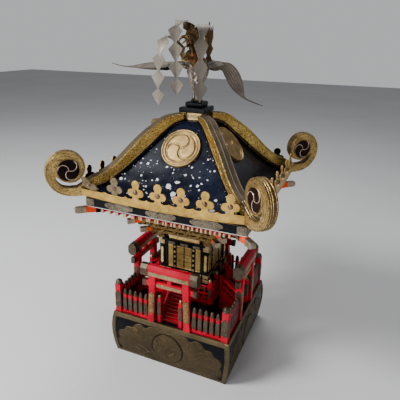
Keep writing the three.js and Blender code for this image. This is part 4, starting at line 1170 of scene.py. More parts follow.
def build_wall(front):
    piece = Piece("sanctuary_wall")
    if front:
        add_doorway(piece)
    else:
        add_blind_doors(piece)
    add_column(piece)
    for z0, z1 in ((WALL_FLOOR, 275), (353, BODY_TOP)):
        piece.add(block(-WALL_EDGE, WALL_EDGE, -77, -WALL_IN, z0, z1), "black_lacquer", bevel=0.8)
    for side in (-1, 1):
        add_wall_trim(piece, side)
    piece.add(block(-12, 12, -77.8, -76, 355, 363), "plaque_silver", bevel=0.5)
    piece.add(block(-14, 14, -77.8, -76, 264, 273), "pale_brass", bevel=0.5)
    add_column_plates(piece)
    return piece


def build_leaf(side):
    """A hinged front leaf with a small boss near the seam for its pull; its back is plain lacquer."""
    name = "right" if side > 0 else "left"
    piece = Piece(f"door_leaf_{name}_fine")
    add_leaf_relief(piece, *span(side, 0.25, DOOR_HALF))
    piece.add(rivet(side * 3.6, -LEAF_OUT - 0.7, DOOR_LOW + 34, 1.7), "beam_gold")
    piece.make("door_brass", [f"door_leaf_{name}"], body=f"front_door_{name}")


# ------------------------------------------------------------------ brackets and rafters

BRACKET_LOW = low("bracket_complex").z
BRACKET_TOP = high("bracket_complex").z
TIERS = (  # purlin half length inside and outside, bottom, top, how many brackets, size of their blocks
    (70.0, 88.0, 373.0, 390.0, 5, 12.0),
    (80.0, 106.0, 398.0, 412.0, 6, 11.0),
    (96.0, 124.0, 420.0, 434.0, 7, 11.0),
    (114.0, 144.0, 442.0, 456.0, 8, 11.0),
)


def bearing_block(x, y, z, width, height):
    """A bearing block: a square cup on a tapered foot."""
    half, foot = width / 2, width * 0.32
    levels = ((foot, 0), (foot * 1.05, height * 0.12), (half, height * 0.48), (half, height))
    return loft([[(x + way_x * reach, y + way_y * reach, z + level)
                  for way_x, way_y in ((-1, -1), (1, -1), (1, 1), (-1, 1))] for reach, level in levels])


def boat_arm(x, y, z, reach, height, width):
    """An arm along X with its ends rounded up underneath."""
    under = [(1, 1), (1, 0.6), (0.88, 0.28), (0.66, 0.06), (0.4, 0)]
    outline = [(x - reach * far, z + height * up) for far, up in under]
    outline += [(x + reach * far, z + height * up) for far, up in reversed(under)]
    return prism(outline, y - width / 2, y + width / 2)


def add_bracket(piece, x, y, tier, turn):
    """One bracket: an arm along the wall with two blocks, and an arm that reaches out to a third block."""
    inner, outer, z0, z1, _count, size = tier
    tall = z1 - z0
    arm = boat_arm(x, y, z0, 11, tall * 0.48, 6.5)
    piece.add(arm, "bracket_gold", bevel=0.5, matrix=turn)
    for dx in (-7.5, 7.5):
        cup = bearing_block(x + dx, y, z0 + tall * 0.46, size * 0.52, tall * 0.52)
        piece.add(cup, "bracket_gold", bevel=0.3, matrix=turn)
    reach = [(-inner + 2, z0 + 1), (-outer + 9, z0 + 1), (-outer + 3, z0 + 5), (-outer + 1.5, z0 + 9),
             (-inner + 2, z0 + 9)]
    piece.add(prism(reach, x - 3, x + 3, "x"), "bracket_gold", bevel=0.5, matrix=turn)
    cup = bearing_block(x, -outer + 6, z0 + tall * 0.42, size * 0.8, tall * 0.56)
    piece.add(cup, "bracket_gold", bevel=0.4, matrix=turn)


def add_bracket_tiers(piece, turn):
    """Four rows of brackets on one side, each under its purlin."""
    for tier in TIERS:
        lowest = tier is TIERS[0]
        inner, outer, _z0, z1, count, _size = tier
        y = -(inner + outer) / 2 - (0 if lowest else 2)
        purlin = block(-outer + 1, outer - 1, -outer + 1, -outer + 7, z1 - 1, z1 + 7.5)
        piece.add(purlin, "bracket_gold", bevel=0.7, matrix=turn)
        for k in range(count):
            x = (outer - 14) * (2 * k / (count - 1) - 1)
            if not (lowest and abs(x) < 52):
                add_bracket(piece, x, y, tier, turn)


def add_head_beam(piece, turn):
    """The black beam under the brackets of one side, with a gilt beam and pale plates before it."""
    shapes = (
        (block(-81, 81, -81, -66, BRACKET_LOW, 372.4), "black_lacquer", 0.7),
        (block(-49, 49, -77.4, -66, 372.8, 384), "beam_gold", 1.0),
        (block(-49.6, 49.6, -78.2, -66, 381.6, 384.6), "pale_brass", 0.5),
        (block(-82, -70, -82, -80.6, BRACKET_LOW + 0.6, 372), "pale_brass", 0.4),
        (block(70, 82, -82, -80.6, BRACKET_LOW + 0.6, 372), "pale_brass", 0.4),
    )
    for shape, finish, bevel in shapes:
        piece.add(shape, finish, bevel=bevel, matrix=turn)


def add_tail_beams(piece, turn):
    """Two orange-red tail beams along the diagonal, each with a bronze shoe and a block on its back."""
    for reach, z in ((122, 398), (149, 430)):
        end = reach * math.sqrt(2)
        shapes = (
            (block(60, end - 17, -6.2, 6.2, z + 0.6, z + 13.4), "orange_red", 0.8),
            (block(end - 19, end, -7, 7, z - 0.4, z + 14.4), "pale_bronze", 1.0),
            (block(end - 21, end - 18, -7.5, 7.5, z - 0.9, z + 14.9), "pale_brass", 0.5),
            (bearing_block(end - 40, 0, z + 12, 15, 12), "bracket_gold", 0.5),
            (boat_arm(end - 46, 0, z - 8, 16, 9, 9), "bracket_gold", 0.5),
        )
        for shape, finish, bevel in shapes:
            piece.add(shape, finish, bevel=bevel, matrix=turn)


def build_brackets():
    piece = Piece("bracket_complex_fine")
    core = [(0, BRACKET_LOW), (78, BRACKET_LOW), (78, 372.6), (66, 372.8), (66, 391), (78, 397), (78, 413),
            (92, 419), (92, 435), (110, 441), (110, 457), (124, 457), (124, BRACKET_TOP - 0.2),
            (0, BRACKET_TOP - 0.2)]
    # The core behind the brackets is painted near black gold: painted shade.
    piece.add(square_sweep(core), "painted_shade_gold")
    plate = [(0, 456.5), (146, 456.5), (146, BRACKET_TOP), (0, BRACKET_TOP)]
    piece.add(square_sweep(plate), "bracket_gold", bevel=0.8)
    for turn in QUARTERS:
        add_bracket_tiers(piece, turn)
        add_head_beam(piece, turn)
    for quarter in range(4):
        add_tail_beams(piece, Matrix.Rotation((quarter - 0.5) * math.pi / 2, 4, "Z"))
    return piece


SOFFIT = high("rafters_front").z
RAFTER_PITCH, RAFTER_HALF = 24.4, 3.5
RAFTER_PAIRS = 8
RAFTER_ROWS = (  # tip, root, bottom, top, top of the boards over them
    (222.0, 150.0, 485.0, 496.0, SOFFIT),
    (190.0, 122.0, 468.3, 478.5, 481.0),
)
RAFTER_CLEAR = (7.6 + GAP) * math.sqrt(2)  # room for the hip rafter


def build_hip():
    piece = Piece("hip_rafter", ON_DIAGONAL)
    z = BRACKET_TOP + GAP
    body = [(150, z), (205, z), (262, 477), (330, 482.6), (330, SOFFIT), (150, SOFFIT)]
    piece.add(prism(body, -6.6, 6.6), "orange_red", bevel=0.8)
    end = [(329, 482.3), (340, 482), (352, 482.6), (356, 486), (356, 495), (353, SOFFIT), (329, SOFFIT)]
    piece.add(prism(end, -7.2, 7.2), "pale_bronze", bevel=0.9)
    piece.add(block(326, 330, -7.6, 7.6, 481.6, SOFFIT), "pale_brass", bevel=0.5)
    for ends, turn in (((270, 300), 0), ((-300, -270), math.pi)):
        face = ON_DIAGONAL @ Matrix.Rotation(turn, 4, "Z")
        piece.add(lance_plate(*ends, 482, 496, -6.8, 0.6), "pale_brass", bevel=0.3, matrix=face)
    return piece


def add_rafter(piece, x, start, row):
    """A rafter under the eaves, its end cut slightly back below, with a gilt tip."""
    tip, _root, z0, z1, _board = row
    outline = [(-tip + 5.0, z0), (-start, z0), (-start, z1), (-tip + 4, z1)]
    bar = prism(outline, x - RAFTER_HALF, x + RAFTER_HALF, "x")
    piece.add(bar, "red_lacquer", bevel=0.5)
    cap = block(x - RAFTER_HALF + 0.9, x + RAFTER_HALF - 0.9, -tip, -tip + 9, z0 - 0.5, z1)
    piece.add(cap, "tip_gold", bevel=0.7)


def build_rafters():
    piece = Piece("rafters")
    for row in RAFTER_ROWS:
        tip, root, _z0, z1, board = row
        reach_tip, reach_root = tip - RAFTER_CLEAR, root - RAFTER_CLEAR
        outline = [(-reach_tip, -tip), (reach_tip, -tip), (reach_root, -root), (-reach_root, -root)]
        # The boards over the rafters are painted darker red: painted shade.
        piece.add(prism(outline, z1 - 0.6, board, "z"), "painted_shade_red", bevel=0.4)
        for k in range(-RAFTER_PAIRS, RAFTER_PAIRS):
            x = RAFTER_PITCH * (k + 0.5)
            start = max(root, abs(x) + RAFTER_HALF + RAFTER_CLEAR)
            if start <= tip - 12:
                add_rafter(piece, x, start, row)
        # The board that ties the rafter tips together, a little behind them.
        tie = block(-reach_tip + 3, reach_tip - 3, -tip + 10, -tip + 15, z1 - 3, z1)
        piece.add(tie, "red_lacquer", bevel=0.4)
    for x in (-122, -40, 122, 40):
        piece.add(post(x, -181, 5, 5, 480, 490), "bracket_gold", bevel=0.6)
    return piece


# ------------------------------------------------------------------ roof

ROOF_LIFT_HALF = 228.0
EAVE_LIFT = 9.0
FASCIA_LOW, FASCIA_HIGH = 500.0, 526.0
ROOF_LINE = ((30, 726), (48, 719), (66, 703), (107, 653), (148, 603), (171, 579), (191, 560.5), (214, 549.5),
             (240.2, 541))
ROOF_SMOOTH = smooth(ROOF_LINE, 5)
PLAQUE_LOW, PLAQUE_HIGH = 503.0, 523.5


def eave_lift(along):
    """How far the eave rises at a distance along a side from its middle."""
    return EAVE_LIFT * abs(along / ROOF_LIFT_HALF) ** 3


def roof_height(half, along=0.0):
    """Height of the roof at a half width, and at a distance along that side from its middle."""
    halves, heights = zip(*ROOF_SMOOTH)
    return np.interp(half, halves, heights) + eave_lift(along)


def roof_finish(place, normal):
    # The underside of the eaves is painted darker red: painted shade.
    if normal.z < -0.9 and place.z < FASCIA_LOW + 2:
        return "painted_shade_red"
    return "roof_lacquer" if place.z > 541 and normal.z > 0.2 else "black_lacquer"


def add_fascia(piece, turn):
    """Plaques on one side of the fascia, between a pale line below and a brass one above."""
    for centre in (0, -125, 125):
        piece.add(plaque(centre, 44), "plaque_silver", bevel=0.5, matrix=turn)
        piece.add(plaque(centre, 38, 0.62, 0.9), "plaque_silver", bevel=0.4, matrix=turn)
    for side in (-1, 1):
        corner = block(*span(side, 203, 229.2), -229.4, -227, 502.5, 523.5)
        piece.add(corner, "plaque_silver", bevel=0.7, matrix=turn)
    pale = block(-229, 229, -229.1, -227, FASCIA_LOW, FASCIA_LOW + 1.7)
    piece.add(pale, "silver_line", bevel=0.3, matrix=turn)
    brass = block(-229, 229, -228.8, -227, FASCIA_HIGH - 1.6, FASCIA_HIGH - 0.2)
    piece.add(brass, "frame_brass", bevel=0.3, matrix=turn)


def build_roof():
    piece = Piece("roof_fine")
    surface = [(half, z, 1) for half, z in ROOF_SMOOTH]
    eave = [(240.2, 534, 1), (238.5, 532, 1), (229, 528.5, 0.6)]
    under = [(228, FASCIA_HIGH, 0), (228, FASCIA_LOW, 0), (0, FASCIA_LOW)]
    profile = [(0, ROOF_LINE[0][1])] + surface + eave + under
    piece.add(square_sweep(profile, 32, EAVE_LIFT), roof_finish, sharp=50)
    for turn in QUARTERS:
        add_fascia(piece, turn)
    return piece


def plaque(centre, reach, share=1.0, proud=0.0):
    """A long lobed plaque on the fascia."""
    middle, half = (PLAQUE_LOW + PLAQUE_HIGH) / 2, (PLAQUE_HIGH - PLAQUE_LOW) / 2 * share
    neck = [(reach - half * 1.5, -half), (reach - half * 0.75, -half * 0.62)]
    side = neck + arc(reach - half * 0.55, 0, half * 0.55, -70, 70, 6) + [(x, -z) for x, z in reversed(neck)]
    outline = [(centre + x, middle + z) for x, z in side]
    outline += [(centre - x, middle + z) for x, z in reversed(side)]
    return prism(outline, -229.3 - proud, -227)


EAVE_OUT, EAVE_IN = 243.5, 240.5
EAVE_LOW, EAVE_BAND = 529.0, 551.0
CRESTS, CREST_PITCH = 7, 63.0
CREST_EYE = 571.0
EAVE_END = 225.0


def crest_outline():
    """Half of a trefoil crest from the band up to its tip, at x <= 0."""
    side = arc(-13.0, 568.0, 10.2, -70, -290, 10)
    top = arc(0, 590.0, 11.3, 215, 90, 7)
    return [(-9.5, EAVE_BAND + 0.3), (-8.6, 555.0)] + side + [(-8.8, 580.5)] + top


def damaged(point):
    """Old damage at the left end of the front plate: the last crest is crumpled and the next one leans."""
    x, y, z = point
    rise = max(z - EAVE_BAND - 4, 0)
    last = smoothstep(-x, CREST_PITCH * 2.4, CREST_PITCH * 2.65)
    second = smoothstep(-x, CREST_PITCH * 1.45, CREST_PITCH * 1.6) * (1 - last)
    crumple = 5.0 * math.sin(z / 4.2) * math.cos(x / 9.0) * min(rise / 10, 1) * last
    pull = max(-205 - x, 0) * 0.25
    return (x - rise * (0.28 * last - 0.10 * second),
            y - rise * (0.45 * last + 0.16 * second) - pull - abs(crumple),
            z - rise * 0.16 * last + crumple * 0.4)


def crest_places():
    return [CREST_PITCH * (k - (CRESTS - 1) / 2) for k in range(CRESTS)]


def valley(middle):
    """The band's upper edge between two crests, with a small point in its middle."""
    return [(middle + dx, EAVE_BAND + dz)
            for dx, dz in ((-15, -1.5), (-6, -0.5), (0, 2.6), (6, -0.5), (15, -1.5))]


def build_eave_plate(front):
    """A crested plate; on the front one the first two crests are plates of their own, dulled and bent."""
    piece = Piece("eave_plate")
    bend = damaged if front else (lambda point: point)

    def plate(outline):
        points, faces = prism([(x, z + eave_lift(x)) for x, z in outline], -EAVE_OUT, -EAVE_IN)
        return [bend(point) for point in points], faces

    top = [(-EAVE_END, EAVE_BAND - 1.0)]
    for k, x in enumerate(crest_places()):
        top += valley(x - CREST_PITCH / 2) if k else []
        crest = [(x + dx, z) for dx, z in crest_outline()]
        crest += [(x - dx, z) for dx, z in reversed(crest_outline()[:-1])]
        if front and k < 2:
            piece.add(plate(crest), "dull_brass", bevel=0.4, sharp=50)
        else:
            top += crest
    top.append((EAVE_END, EAVE_BAND - 1.0))
    bottom = [(EAVE_END * share, EAVE_LOW) for share in np.linspace(-1, 1, 25)]
    piece.add(plate(bottom + top[::-1]),
              lambda place, normal: "black_lacquer" if normal.y > 0.6 else "eave_gold", bevel=0.5, sharp=50)
    for x in crest_places():
        points, faces = rivet(x, -EAVE_OUT, CREST_EYE - 1 + eave_lift(x), 7.0)
        piece.add(([bend(point) for point in points], faces), "rivet_copper")
    # A raised bead along the band's lower edge.
    bead = [bend((x, -EAVE_OUT - 0.2, EAVE_LOW + 2.2 + eave_lift(x)))
            for x in np.linspace(-EAVE_END + 1, EAVE_END - 1, 33)]
    piece.add(tube(bead, 1.0), "eave_gold")
    return piece


# ------------------------------------------------------------------ ridges and scrolls

RIDGE_LINE = ((44, 743), (61, 742), (95, 736), (124, 718), (156, 696), (190, 667), (215, 643), (242, 619),
              (262, 604.5), (281, 594), (303, 585), (321, 574), (345, 561))
RIDGE_TOP = ((-15, 2.2), (-14.2, 0.4), (-12.8, 0), (-12, 0.9), (-2.2, 0.9), (-1.2, 0))  # half, as (w, depth)
SCROLL_CENTRE, SCROLL_Z, SCROLL_HALF = 365.0, 610.0, 12.0
SCROLL_RIM = ((-12, -1.6), (-11.4, -0.4), (-10.2, 0), (-8.4, 0), (-7.7, -0.8), (-6.8, -0.8), (-6.1, 0),
              (-1.6, 0), (-1, 0.7))  # half of the grooves across the scroll's rim, as (w, growth)
ROUNDEL_FLOOR = SCROLL_HALF + 0.6
ROUNDEL_RADIUS = 29.4


def both_halves(half):
    """(w, value) pairs for both sides of the middle, from those at w below 0."""
    return list(half) + [(-w, value) for w, value in reversed(half)]


def ridge_stations():
    """Points (distance along the diagonal, top height, roof height) of the ridge, finely spaced."""
    stations = []
    for distance, z in smooth(RIDGE_LINE, 5):
        half = min(distance / math.sqrt(2), 240.0)
        stations.append((distance, z, float(roof_height(half, half))))
    return stations


def ridge_section(k, stations, across):
    """One ring of the ridge; across lists (w, depth below its top, or None for a foot in the roof)."""
    distance, z, roof = stations[k]
    before, after = stations[max(k - 1, 0)], stations[min(k + 1, len(stations) - 1)]
    slope = Vector((after[0] - before[0], 0, after[1] - before[1])).normalized()
    normal = Vector((-slope.z, 0, slope.x))
    return [(distance, w, min(roof - 4, z - 12)) if depth is None
            else tuple(Vector((distance, w, z)) - normal * depth) for w, depth in across]


def scroll_radius(degrees):
    turns = degrees / 360
    return 73 - 49 * turns + 12 * turns * turns - 2.1 * math.sin(2 * math.pi * turns) * (1 - turns)


def on_scroll(degrees, radius):
    """A point round the scroll's centre as (distance along the diagonal, height); 0 degrees is below."""
    turn = math.radians(degrees - 90)
    return (SCROLL_CENTRE + radius * math.cos(turn), SCROLL_Z + radius * math.sin(turn))


def scroll_outline():
    """Outline of the scroll and its neck, counter-clockwise."""
    outside = [on_scroll(degrees, scroll_radius(degrees)) for degrees in range(0, 361, 8)]
    slot = ((28, 34.5), (60, 35.5), (66, 38), (45, 43.5), (22, 47.5), (0, 49))
    slot = smooth([on_scroll(*place) for place in slot], 3)
    neck = smooth([(345, 561), (321, 574), (303, 585)], 3) + [(300, 560)]
    neck += smooth([(318, 541), (330, 535.5), (348, 535)], 3)
    return outside + slot + neck


def scroll_band_lines():
    """Chased lines of the lower band: long leaves that follow the spiral."""
    lines = []
    for inset, start, end in ((10, 8, 150), (19, 6, 100), (14, 120, 300)):
        wave = [(degrees, 1.5 * math.sin(math.radians(degrees * 6))) for degrees in range(start, end, 8)]
        lines.append([on_scroll(degrees, scroll_radius(degrees) - inset - sway) for degrees, sway in wave])
    return lines


def roundel_disc(radius, side):
    """The scroll's roundel: sunk maroon commas, parted by a pale raised wire, on one side of the scroll."""
    rings = np.linspace(0.4, radius, 34)
    turns = np.linspace(0, 2 * math.pi, 133)
    columns, rows = np.meshgrid(rings, turns, indexing="ij")
    x, z = columns * np.cos(rows), columns * np.sin(rows)
    rise = 1.5 - smoothstep(comma_lines(x, z, radius - 1.5), 0.7, 1.5) * 1.5
    rise = np.where(columns > radius - 0.4, -1.0, rise)
    points = [(SCROLL_CENTRE - side * px, side * (ROUNDEL_FLOOR + h), SCROLL_Z + pz)
              for px, pz, h in zip(x.ravel(), z.ravel(), rise.ravel())]
    return points, [face[1:] + face[:1] for face in grid_faces(*x.shape)]


def add_ridge_bar(piece):
    """The ridge on its black foot, with raised lines along the edges of both faces."""
    every = ridge_stations()
    stations = [station for station in every if station[0] < 330]
    section = [(-14.6, None), (-14.6, 4.0)] + both_halves(RIDGE_TOP) + [(14.6, 4.0), (14.6, None)]
    rings = [ridge_section(k, every, section) for k in range(len(stations))]
    piece.add(loft(rings), lambda place, normal: "ridge_gold" if abs(normal.y) > 0.75 else "ridge_top",
              sharp=32)
    foot = [[(distance, w, roof + dz) for w, dz in ((-16.4, -3), (16.4, -3), (16.4, 2.2), (-16.4, 2.2))]
            for distance, _z, roof in stations if distance < 318]
    piece.add(loft(foot), "black_lacquer", sharp=30)
    lined = [station for station in stations if station[0] < 312]
    for side in (-1, 1):
        upper = [(distance, side * 14.9, max(z - 6.0, roof + 5)) for distance, z, roof in lined]
        lower = [(distance, side * 14.9, roof + 4.6) for distance, _z, roof in lined]
        for line in (upper, lower):
            piece.add(tube(line, 0.8), "scroll_rim")


def scroll_finish(place, normal):
    """Bright faces; the neck's upper face and the bead along the rim are as dull as the ridge's top."""
    if abs(normal.y) > 0.6:
        return "scroll_brass"
    neck = place.x < SCROLL_CENTRE and normal.z > 0.1 and place.z < SCROLL_Z
    return "ridge_top" if abs(place.y) < 1.7 or neck else "scroll_side"


def roundel_finish(place, _normal):
    """Pale wire on the raised lines of a scroll's roundel, maroon in its commas."""
    if math.hypot(place.x - SCROLL_CENTRE, place.z - SCROLL_Z) > ROUNDEL_RADIUS - 1.2:
        return "scroll_rim"
    return "wire_copper" if abs(place.y) - ROUNDEL_FLOOR > 0.7 else "disc_maroon"


def build_ridge():
    piece = Piece("ridge", ON_DIAGONAL)
    add_ridge_bar(piece)
    outline = scroll_outline()
    rings = [[(d, w, z) for d, z in offset_outline(outline, grow)] for w, grow in both_halves(SCROLL_RIM)]
    piece.add(loft(rings), scroll_finish, sharp=40)
    rim = offset_outline(outline, -3.2)[:46]
    for side in (-1, 1):
        piece.add(tube([(d, side * 12.1, z) for d, z in rim], 1.15), "scroll_rim")
        for line in scroll_band_lines():
            piece.add(tube([(d, side * 12.0, z) for d, z in line], 0.85, 5), "scroll_rim")
        ring = [(SCROLL_CENTRE + x, side * 12.2, SCROLL_Z + z) for x, z in arc(0, 0, 30.6, 0, 352, 44)]
        piece.add(tube(ring + ring[:1], 1.5), "scroll_rim")
        piece.add(roundel_disc(ROUNDEL_RADIUS, side), roundel_finish, solid=False, sharp=60)
    return piece


# ------------------------------------------------------------------ roof roundels, block and roban

MEDALLION_RADIUS = 56.0
MEDALLION_HALF = 101.7


def medallion_height(x, y, radius):
    """Double raised rim, then three commas in relief on a slightly domed field."""
    edge = np.array([0, 34, 41.5, 43.5, 45, 47.2, 48.8, 50.2, 51.5, 53, 54.8, 55.7, 56])
    level = np.array([5.6, 5.3, 5.1, 5.2, 6.5, 6.6, 5.2, 5.1, 7.2, 8.0, 7.7, 6.4, 0.2])
    height = np.interp(radius, edge, level)
    distance = np.minimum(comma_lines(x, y, 41.0, 90), 42.5 - radius)
    return height + np.where(radius < 42.5, smoothstep(distance, 0.4, 4.5) * 2.6 - 0.8, 0)


def build_medallion():
    slope_top, slope_foot = ROOF_LINE[2], ROOF_LINE[4]
    run, fall = slope_foot[0] - slope_top[0], slope_top[1] - slope_foot[1]
    height = slope_top[1] - fall * (MEDALLION_HALF - slope_top[0]) / run
    tilt = Matrix.Rotation(math.atan2(fall, run), 4, "X")
    piece = Piece("roof_medallion", Matrix.Translation((0, -MEDALLION_HALF, height)) @ tilt)
    rings = np.concatenate([np.linspace(0.3, 43, 60), np.linspace(43.6, 56, 24)])
    turns = np.linspace(0, 2 * math.pi, 181)
    radius, turn = np.meshgrid(rings, turns, indexing="ij")
    x, y = radius * np.cos(turn), radius * np.sin(turn)
    z = medallion_height(x, y, radius)
    points = list(zip(x.ravel(), y.ravel(), z.ravel()))
    piece.add((points, grid_faces(*x.shape)), "medallion_brass", solid=False, sharp=70)
    edge = MEDALLION_RADIUS
    foot = [(0, -0.2), (edge + 0.4, -0.2), (edge + 0.4, 1.0), (edge - 1, 1.6), (0, 1.6)]
    piece.add(lathe(foot, 0, 0, 64), "frame_brass")
    return piece


def build_ridge_block():
    piece = Piece("ridge_block_fine")
    z0, z1 = low("ridge_block").z, high("ridge_block").z
    profile = [(0, z0 - 4), (27, z0 - 4), (27, z1 - 3), (28, z1 - 2.4), (28, z1), (0, z1)]
    piece.add(square_sweep(profile), "beam_gold", bevel=0.6)
    for turn in QUARTERS:
        strip = block(-21, 21, -27.8, -26, z0 + 2.5, z1 - 5)
        piece.add(strip, "engraved_strip", bevel=0.5, matrix=turn)
    return piece


def build_roban():
    piece = Piece("roban_fine")
    z0, z1 = low("roban").z, high("roban").z
    lower = [(0, z0), (36, z0), (38, z0 + 2), (38, z0 + 12.5), (35.5, z0 + 15), (26, z0 + 15.6),
             (0, z0 + 15.6)]
    upper = [(0, z0 + 15), (22, z0 + 15), (24, z0 + 17), (25, z1 - 9.5), (25, z1 - 4), (22.5, z1 - 1),
             (20, z1), (0, z1)]
    for profile in (lower, upper):
        piece.add(square_sweep(profile), "black_lacquer", bevel=1.3, segments=3, sharp_bevel=18)
    return piece


# ------------------------------------------------------------------ phoenix

BIRD_TURN = 23.9
BIRD = Matrix.Rotation(math.radians(BIRD_TURN), 4, "Z")
ROBAN_TOP = high("roban").z
BIRD_FLOOR = ROBAN_TOP + GAP
SHEET = 1.6
UP = Vector((0, 0, 1))
TRUNK, TRUNK_RADII = (1, 0, 856), (31, 27, 43)
CREST = ((-36, 946), (-33, 957), (-30.5, 961), (-27, 958), (-24, 964), (-22, 971), (-19, 976), (-15, 969),
         (-12, 962), (-8, 963), (-4, 961), (1, 948), (4, 941), (-2, 937), (-8, 936), (-20, 940))
CREST_RIBS = (((-30, 949), (-26, 957)), ((-24, 950), (-20, 969)), ((-18, 949), (-12, 959)),
              ((-12, 946), (-3, 955)), ((-8, 941), (1, 943)))


def bird(left_right, forward, up):
    """A point in the bird's own frame: to its left or right, forwards, up."""
    return Vector((left_right, -forward, up))


def limb(path, radii, sides=14, per_span=4):
    """A round tapering limb along a smooth path."""
    knots = smooth([(*point, radius) for point, radius in zip(path, radii)], per_span)
    rings = []
    side = Vector((1, 0, 0))
    for k, (*point, radius) in enumerate(knots):
        before, after = Vector(knots[max(k - 1, 0)][:3]), Vector(knots[min(k + 1, len(knots) - 1)][:3])
        along = (after - before).normalized()
        side = (side - along * side.dot(along)).normalized()
        other = along.cross(side)
        rings.append([Vector(point) + (side * math.cos(turn) + other * math.sin(turn)) * radius
                      for turn in full_turn(sides)])
    return loft(rings)


def sheet_frame(before, after, width):
    """The width direction square to a strip's run, and the strip's normal."""
    along = (after - before).normalized()
    width = (width - along * width.dot(along)).normalized()
    return width, width.cross(along)


def sheet_strip(stations, thickness=SHEET, rib=1.2, cup=0.0):
    """A strip of sheet metal along (point, half width, width direction), with a rib along its middle."""
    across = (-1.0, -0.94, -0.6, -0.2, -0.05, 0.05, 0.2, 0.6, 0.94, 1.0)
    rings = []
    for k, (point, half, width) in enumerate(stations):
        before, after = stations[max(k - 1, 0)][0], stations[min(k + 1, len(stations) - 1)][0]
        width, normal = sheet_frame(before, after, width)
        front, back = [], []
        for u in across:
            bend = -cup * half * u * u
            lift = rib * max(0.0, 1 - abs(u) * half / 1.8) if half > 1.5 else 0.0
            edge = 0.35 if abs(u) == 1 else 0.0
            front.append(point + width * half * u + normal * (thickness / 2 - edge + bend + lift))
            back.append(point + width * half * u + normal * (-thickness / 2 + edge + bend))
        rings.append(front + back[::-1])
    return loft(rings)


def egg(centre, radii, rings=14, sides=22, squeeze=0.0):
    """An ellipsoid; squeeze narrows its lower half."""
    loops = []
    for k in range(rings + 1):
        turn = math.pi * k / rings
        z = -math.cos(turn)
        wide = math.sin(turn) * (1 + squeeze * min(z, 0))
        loops.append([Vector(centre) + Vector((radii[0] * wide * math.cos(t), radii[1] * wide * math.sin(t),
                                               radii[2] * z)) for t in full_turn(sides)])
    return loft(loops, closed_ends=False)


def curve_points(knots, count):
    """Evenly spaced points on a smooth curve through knots."""
    fine = [Vector(point) for point in smooth([tuple(knot) for knot in knots], 24)]
    lengths = [0.0]
    for before, after in zip(fine, fine[1:]):
        lengths.append(lengths[-1] + (after - before).length)
    spaced = []
    for k in range(count + 1):
        want = lengths[-1] * k / count
        j = max(i for i, length in enumerate(lengths) if length <= want + 1e-9)
        if j == len(fine) - 1:
            spaced.append(fine[j])
        else:
            share = (want - lengths[j]) / (lengths[j + 1] - lengths[j])
            spaced.append(fine[j].lerp(fine[j + 1], share))
    return spaced


def compass(degrees):
    """Outward and sideways directions on the bird's body; 0 degrees is its front."""
    turn = math.radians(degrees)
    return Vector((math.sin(turn), -math.cos(turn), 0)), Vector((math.cos(turn), math.sin(turn), 0))


def add_leg(piece, l):
    path = [bird(l, 0, BIRD_FLOOR + 1), bird(l, 0.5, 788), bird(l, 1, 802), bird(l * 1.2, 2, 826),
            bird(l * 1.3, 2, 842)]
    piece.add(limb(path, [5.2, 3.8, 4.6, 10.5, 14]), "phoenix_body_sheet")
    heel = bird(l, 0, BIRD_FLOOR + 5)
    for toe in (-35, 0, 35):
        turn = math.radians(toe)
        tip = bird(l + 8 * math.sin(turn), 9 * math.cos(turn), BIRD_FLOOR + 3.6)
        piece.add(limb([heel, heel.lerp(tip, 0.5) + UP, tip], [2.6, 2.2, 1.2], 8), "phoenix_brown")


def add_breast(piece):
    """A keel of overlapping scales on the breast, lowest row first."""
    wide, deep, tall = TRUNK_RADII
    for row in range(6):
        z = 828 + row * 9.0
        level = (z - TRUNK[2]) / tall
        reach = math.sqrt(max(1 - level * level, 0.05))
        count = 5 if row % 2 else 4
        for k in range(count):
            ahead, aside = compass(-34 + 68 * k / (count - 1))
            out = Vector((wide * reach * ahead.x, deep * reach * ahead.y, 0)) * (1 + 0.22 * min(level, 0))
            normal = Vector((ahead.x, ahead.y, level * 0.6)).normalized()
            middle = Vector((TRUNK[0], 0, z)) + out
            scale = [(middle + UP * rise + normal * proud, half, aside) for rise, proud, half in
                     ((9, -0.4, 5.6), (2, 0.9, 6.4), (-4, 1.3, 4.6), (-7, 1.2, 1.0))]
            piece.add(sheet_strip(scale, 1.0, 0.5, 0.12), "phoenix_body_sheet")


def add_hackles(piece):
    """Curled leaves that stand off the neck, all round, in three rows."""
    for row, (z, radius, size) in enumerate(((898, 15, 15), (914, 11, 13), (930, 9, 11))):
        centre = bird(-12 - row * 3.0, 20, z - 6)
        curl = ((radius * 0.6, 0.3, 1.6), (radius + 2, 0.1, 3.8), (radius + 6, -0.35, 3.2),
                (radius + 10, -0.5, 1.6), (radius + 12, -0.25, 0.5))
        for k in range(7):
            out, aside = compass(-150 + 300 * (k + 0.5 * (row % 2)) / 6.5)
            leaf = [(centre + out * far + UP * (size * rise), half, aside) for far, rise, half in curl]
            piece.add(sheet_strip(leaf, 1.1, 0.5, 0.1), "phoenix_brown")


def add_face(piece, side):
    """An eye in its ring, and a wattle."""
    eye = bird(-27, 18 + side * 8.4, 945)
    piece.add(egg(eye, (2.6, 1.5, 2.6), 8, 12), "black_lacquer")
    ring = [eye + Vector((3.2 * math.cos(turn), 0, 3.2 * math.sin(turn))) for turn in full_turn(14)]
    piece.add(tube(ring + ring[:1], 0.8), "pale_brass")
    wattle = [(bird(l, 18 + side * f, z), half, Vector((0, 1, lean))) for l, f, z, half, lean in
              ((-28, 5, 936, 2.0, 0.2), (-30, 7, 928, 4.0, 0), (-29, 7, 920, 2.4, 0), (-28, 6, 915, 0.6, 0))]
    piece.add(sheet_strip(wattle, 1.2, 0.4), "phoenix_red")


def add_beak(piece):
    upper = [bird(l, 18, z) for l, z in ((-32, 944), (-41, 944.5), (-48, 940), (-51.5, 932), (-51, 925))]
    piece.add(limb(upper, [5.4, 4.2, 3.0, 1.8, 0.5], 12), "phoenix_brown")
    lower = [bird(l, 18, z) for l, z in ((-31, 937), (-38, 932), (-44, 926))]
    piece.add(limb(lower, [3.4, 2.4, 0.7], 10), "phoenix_brown")


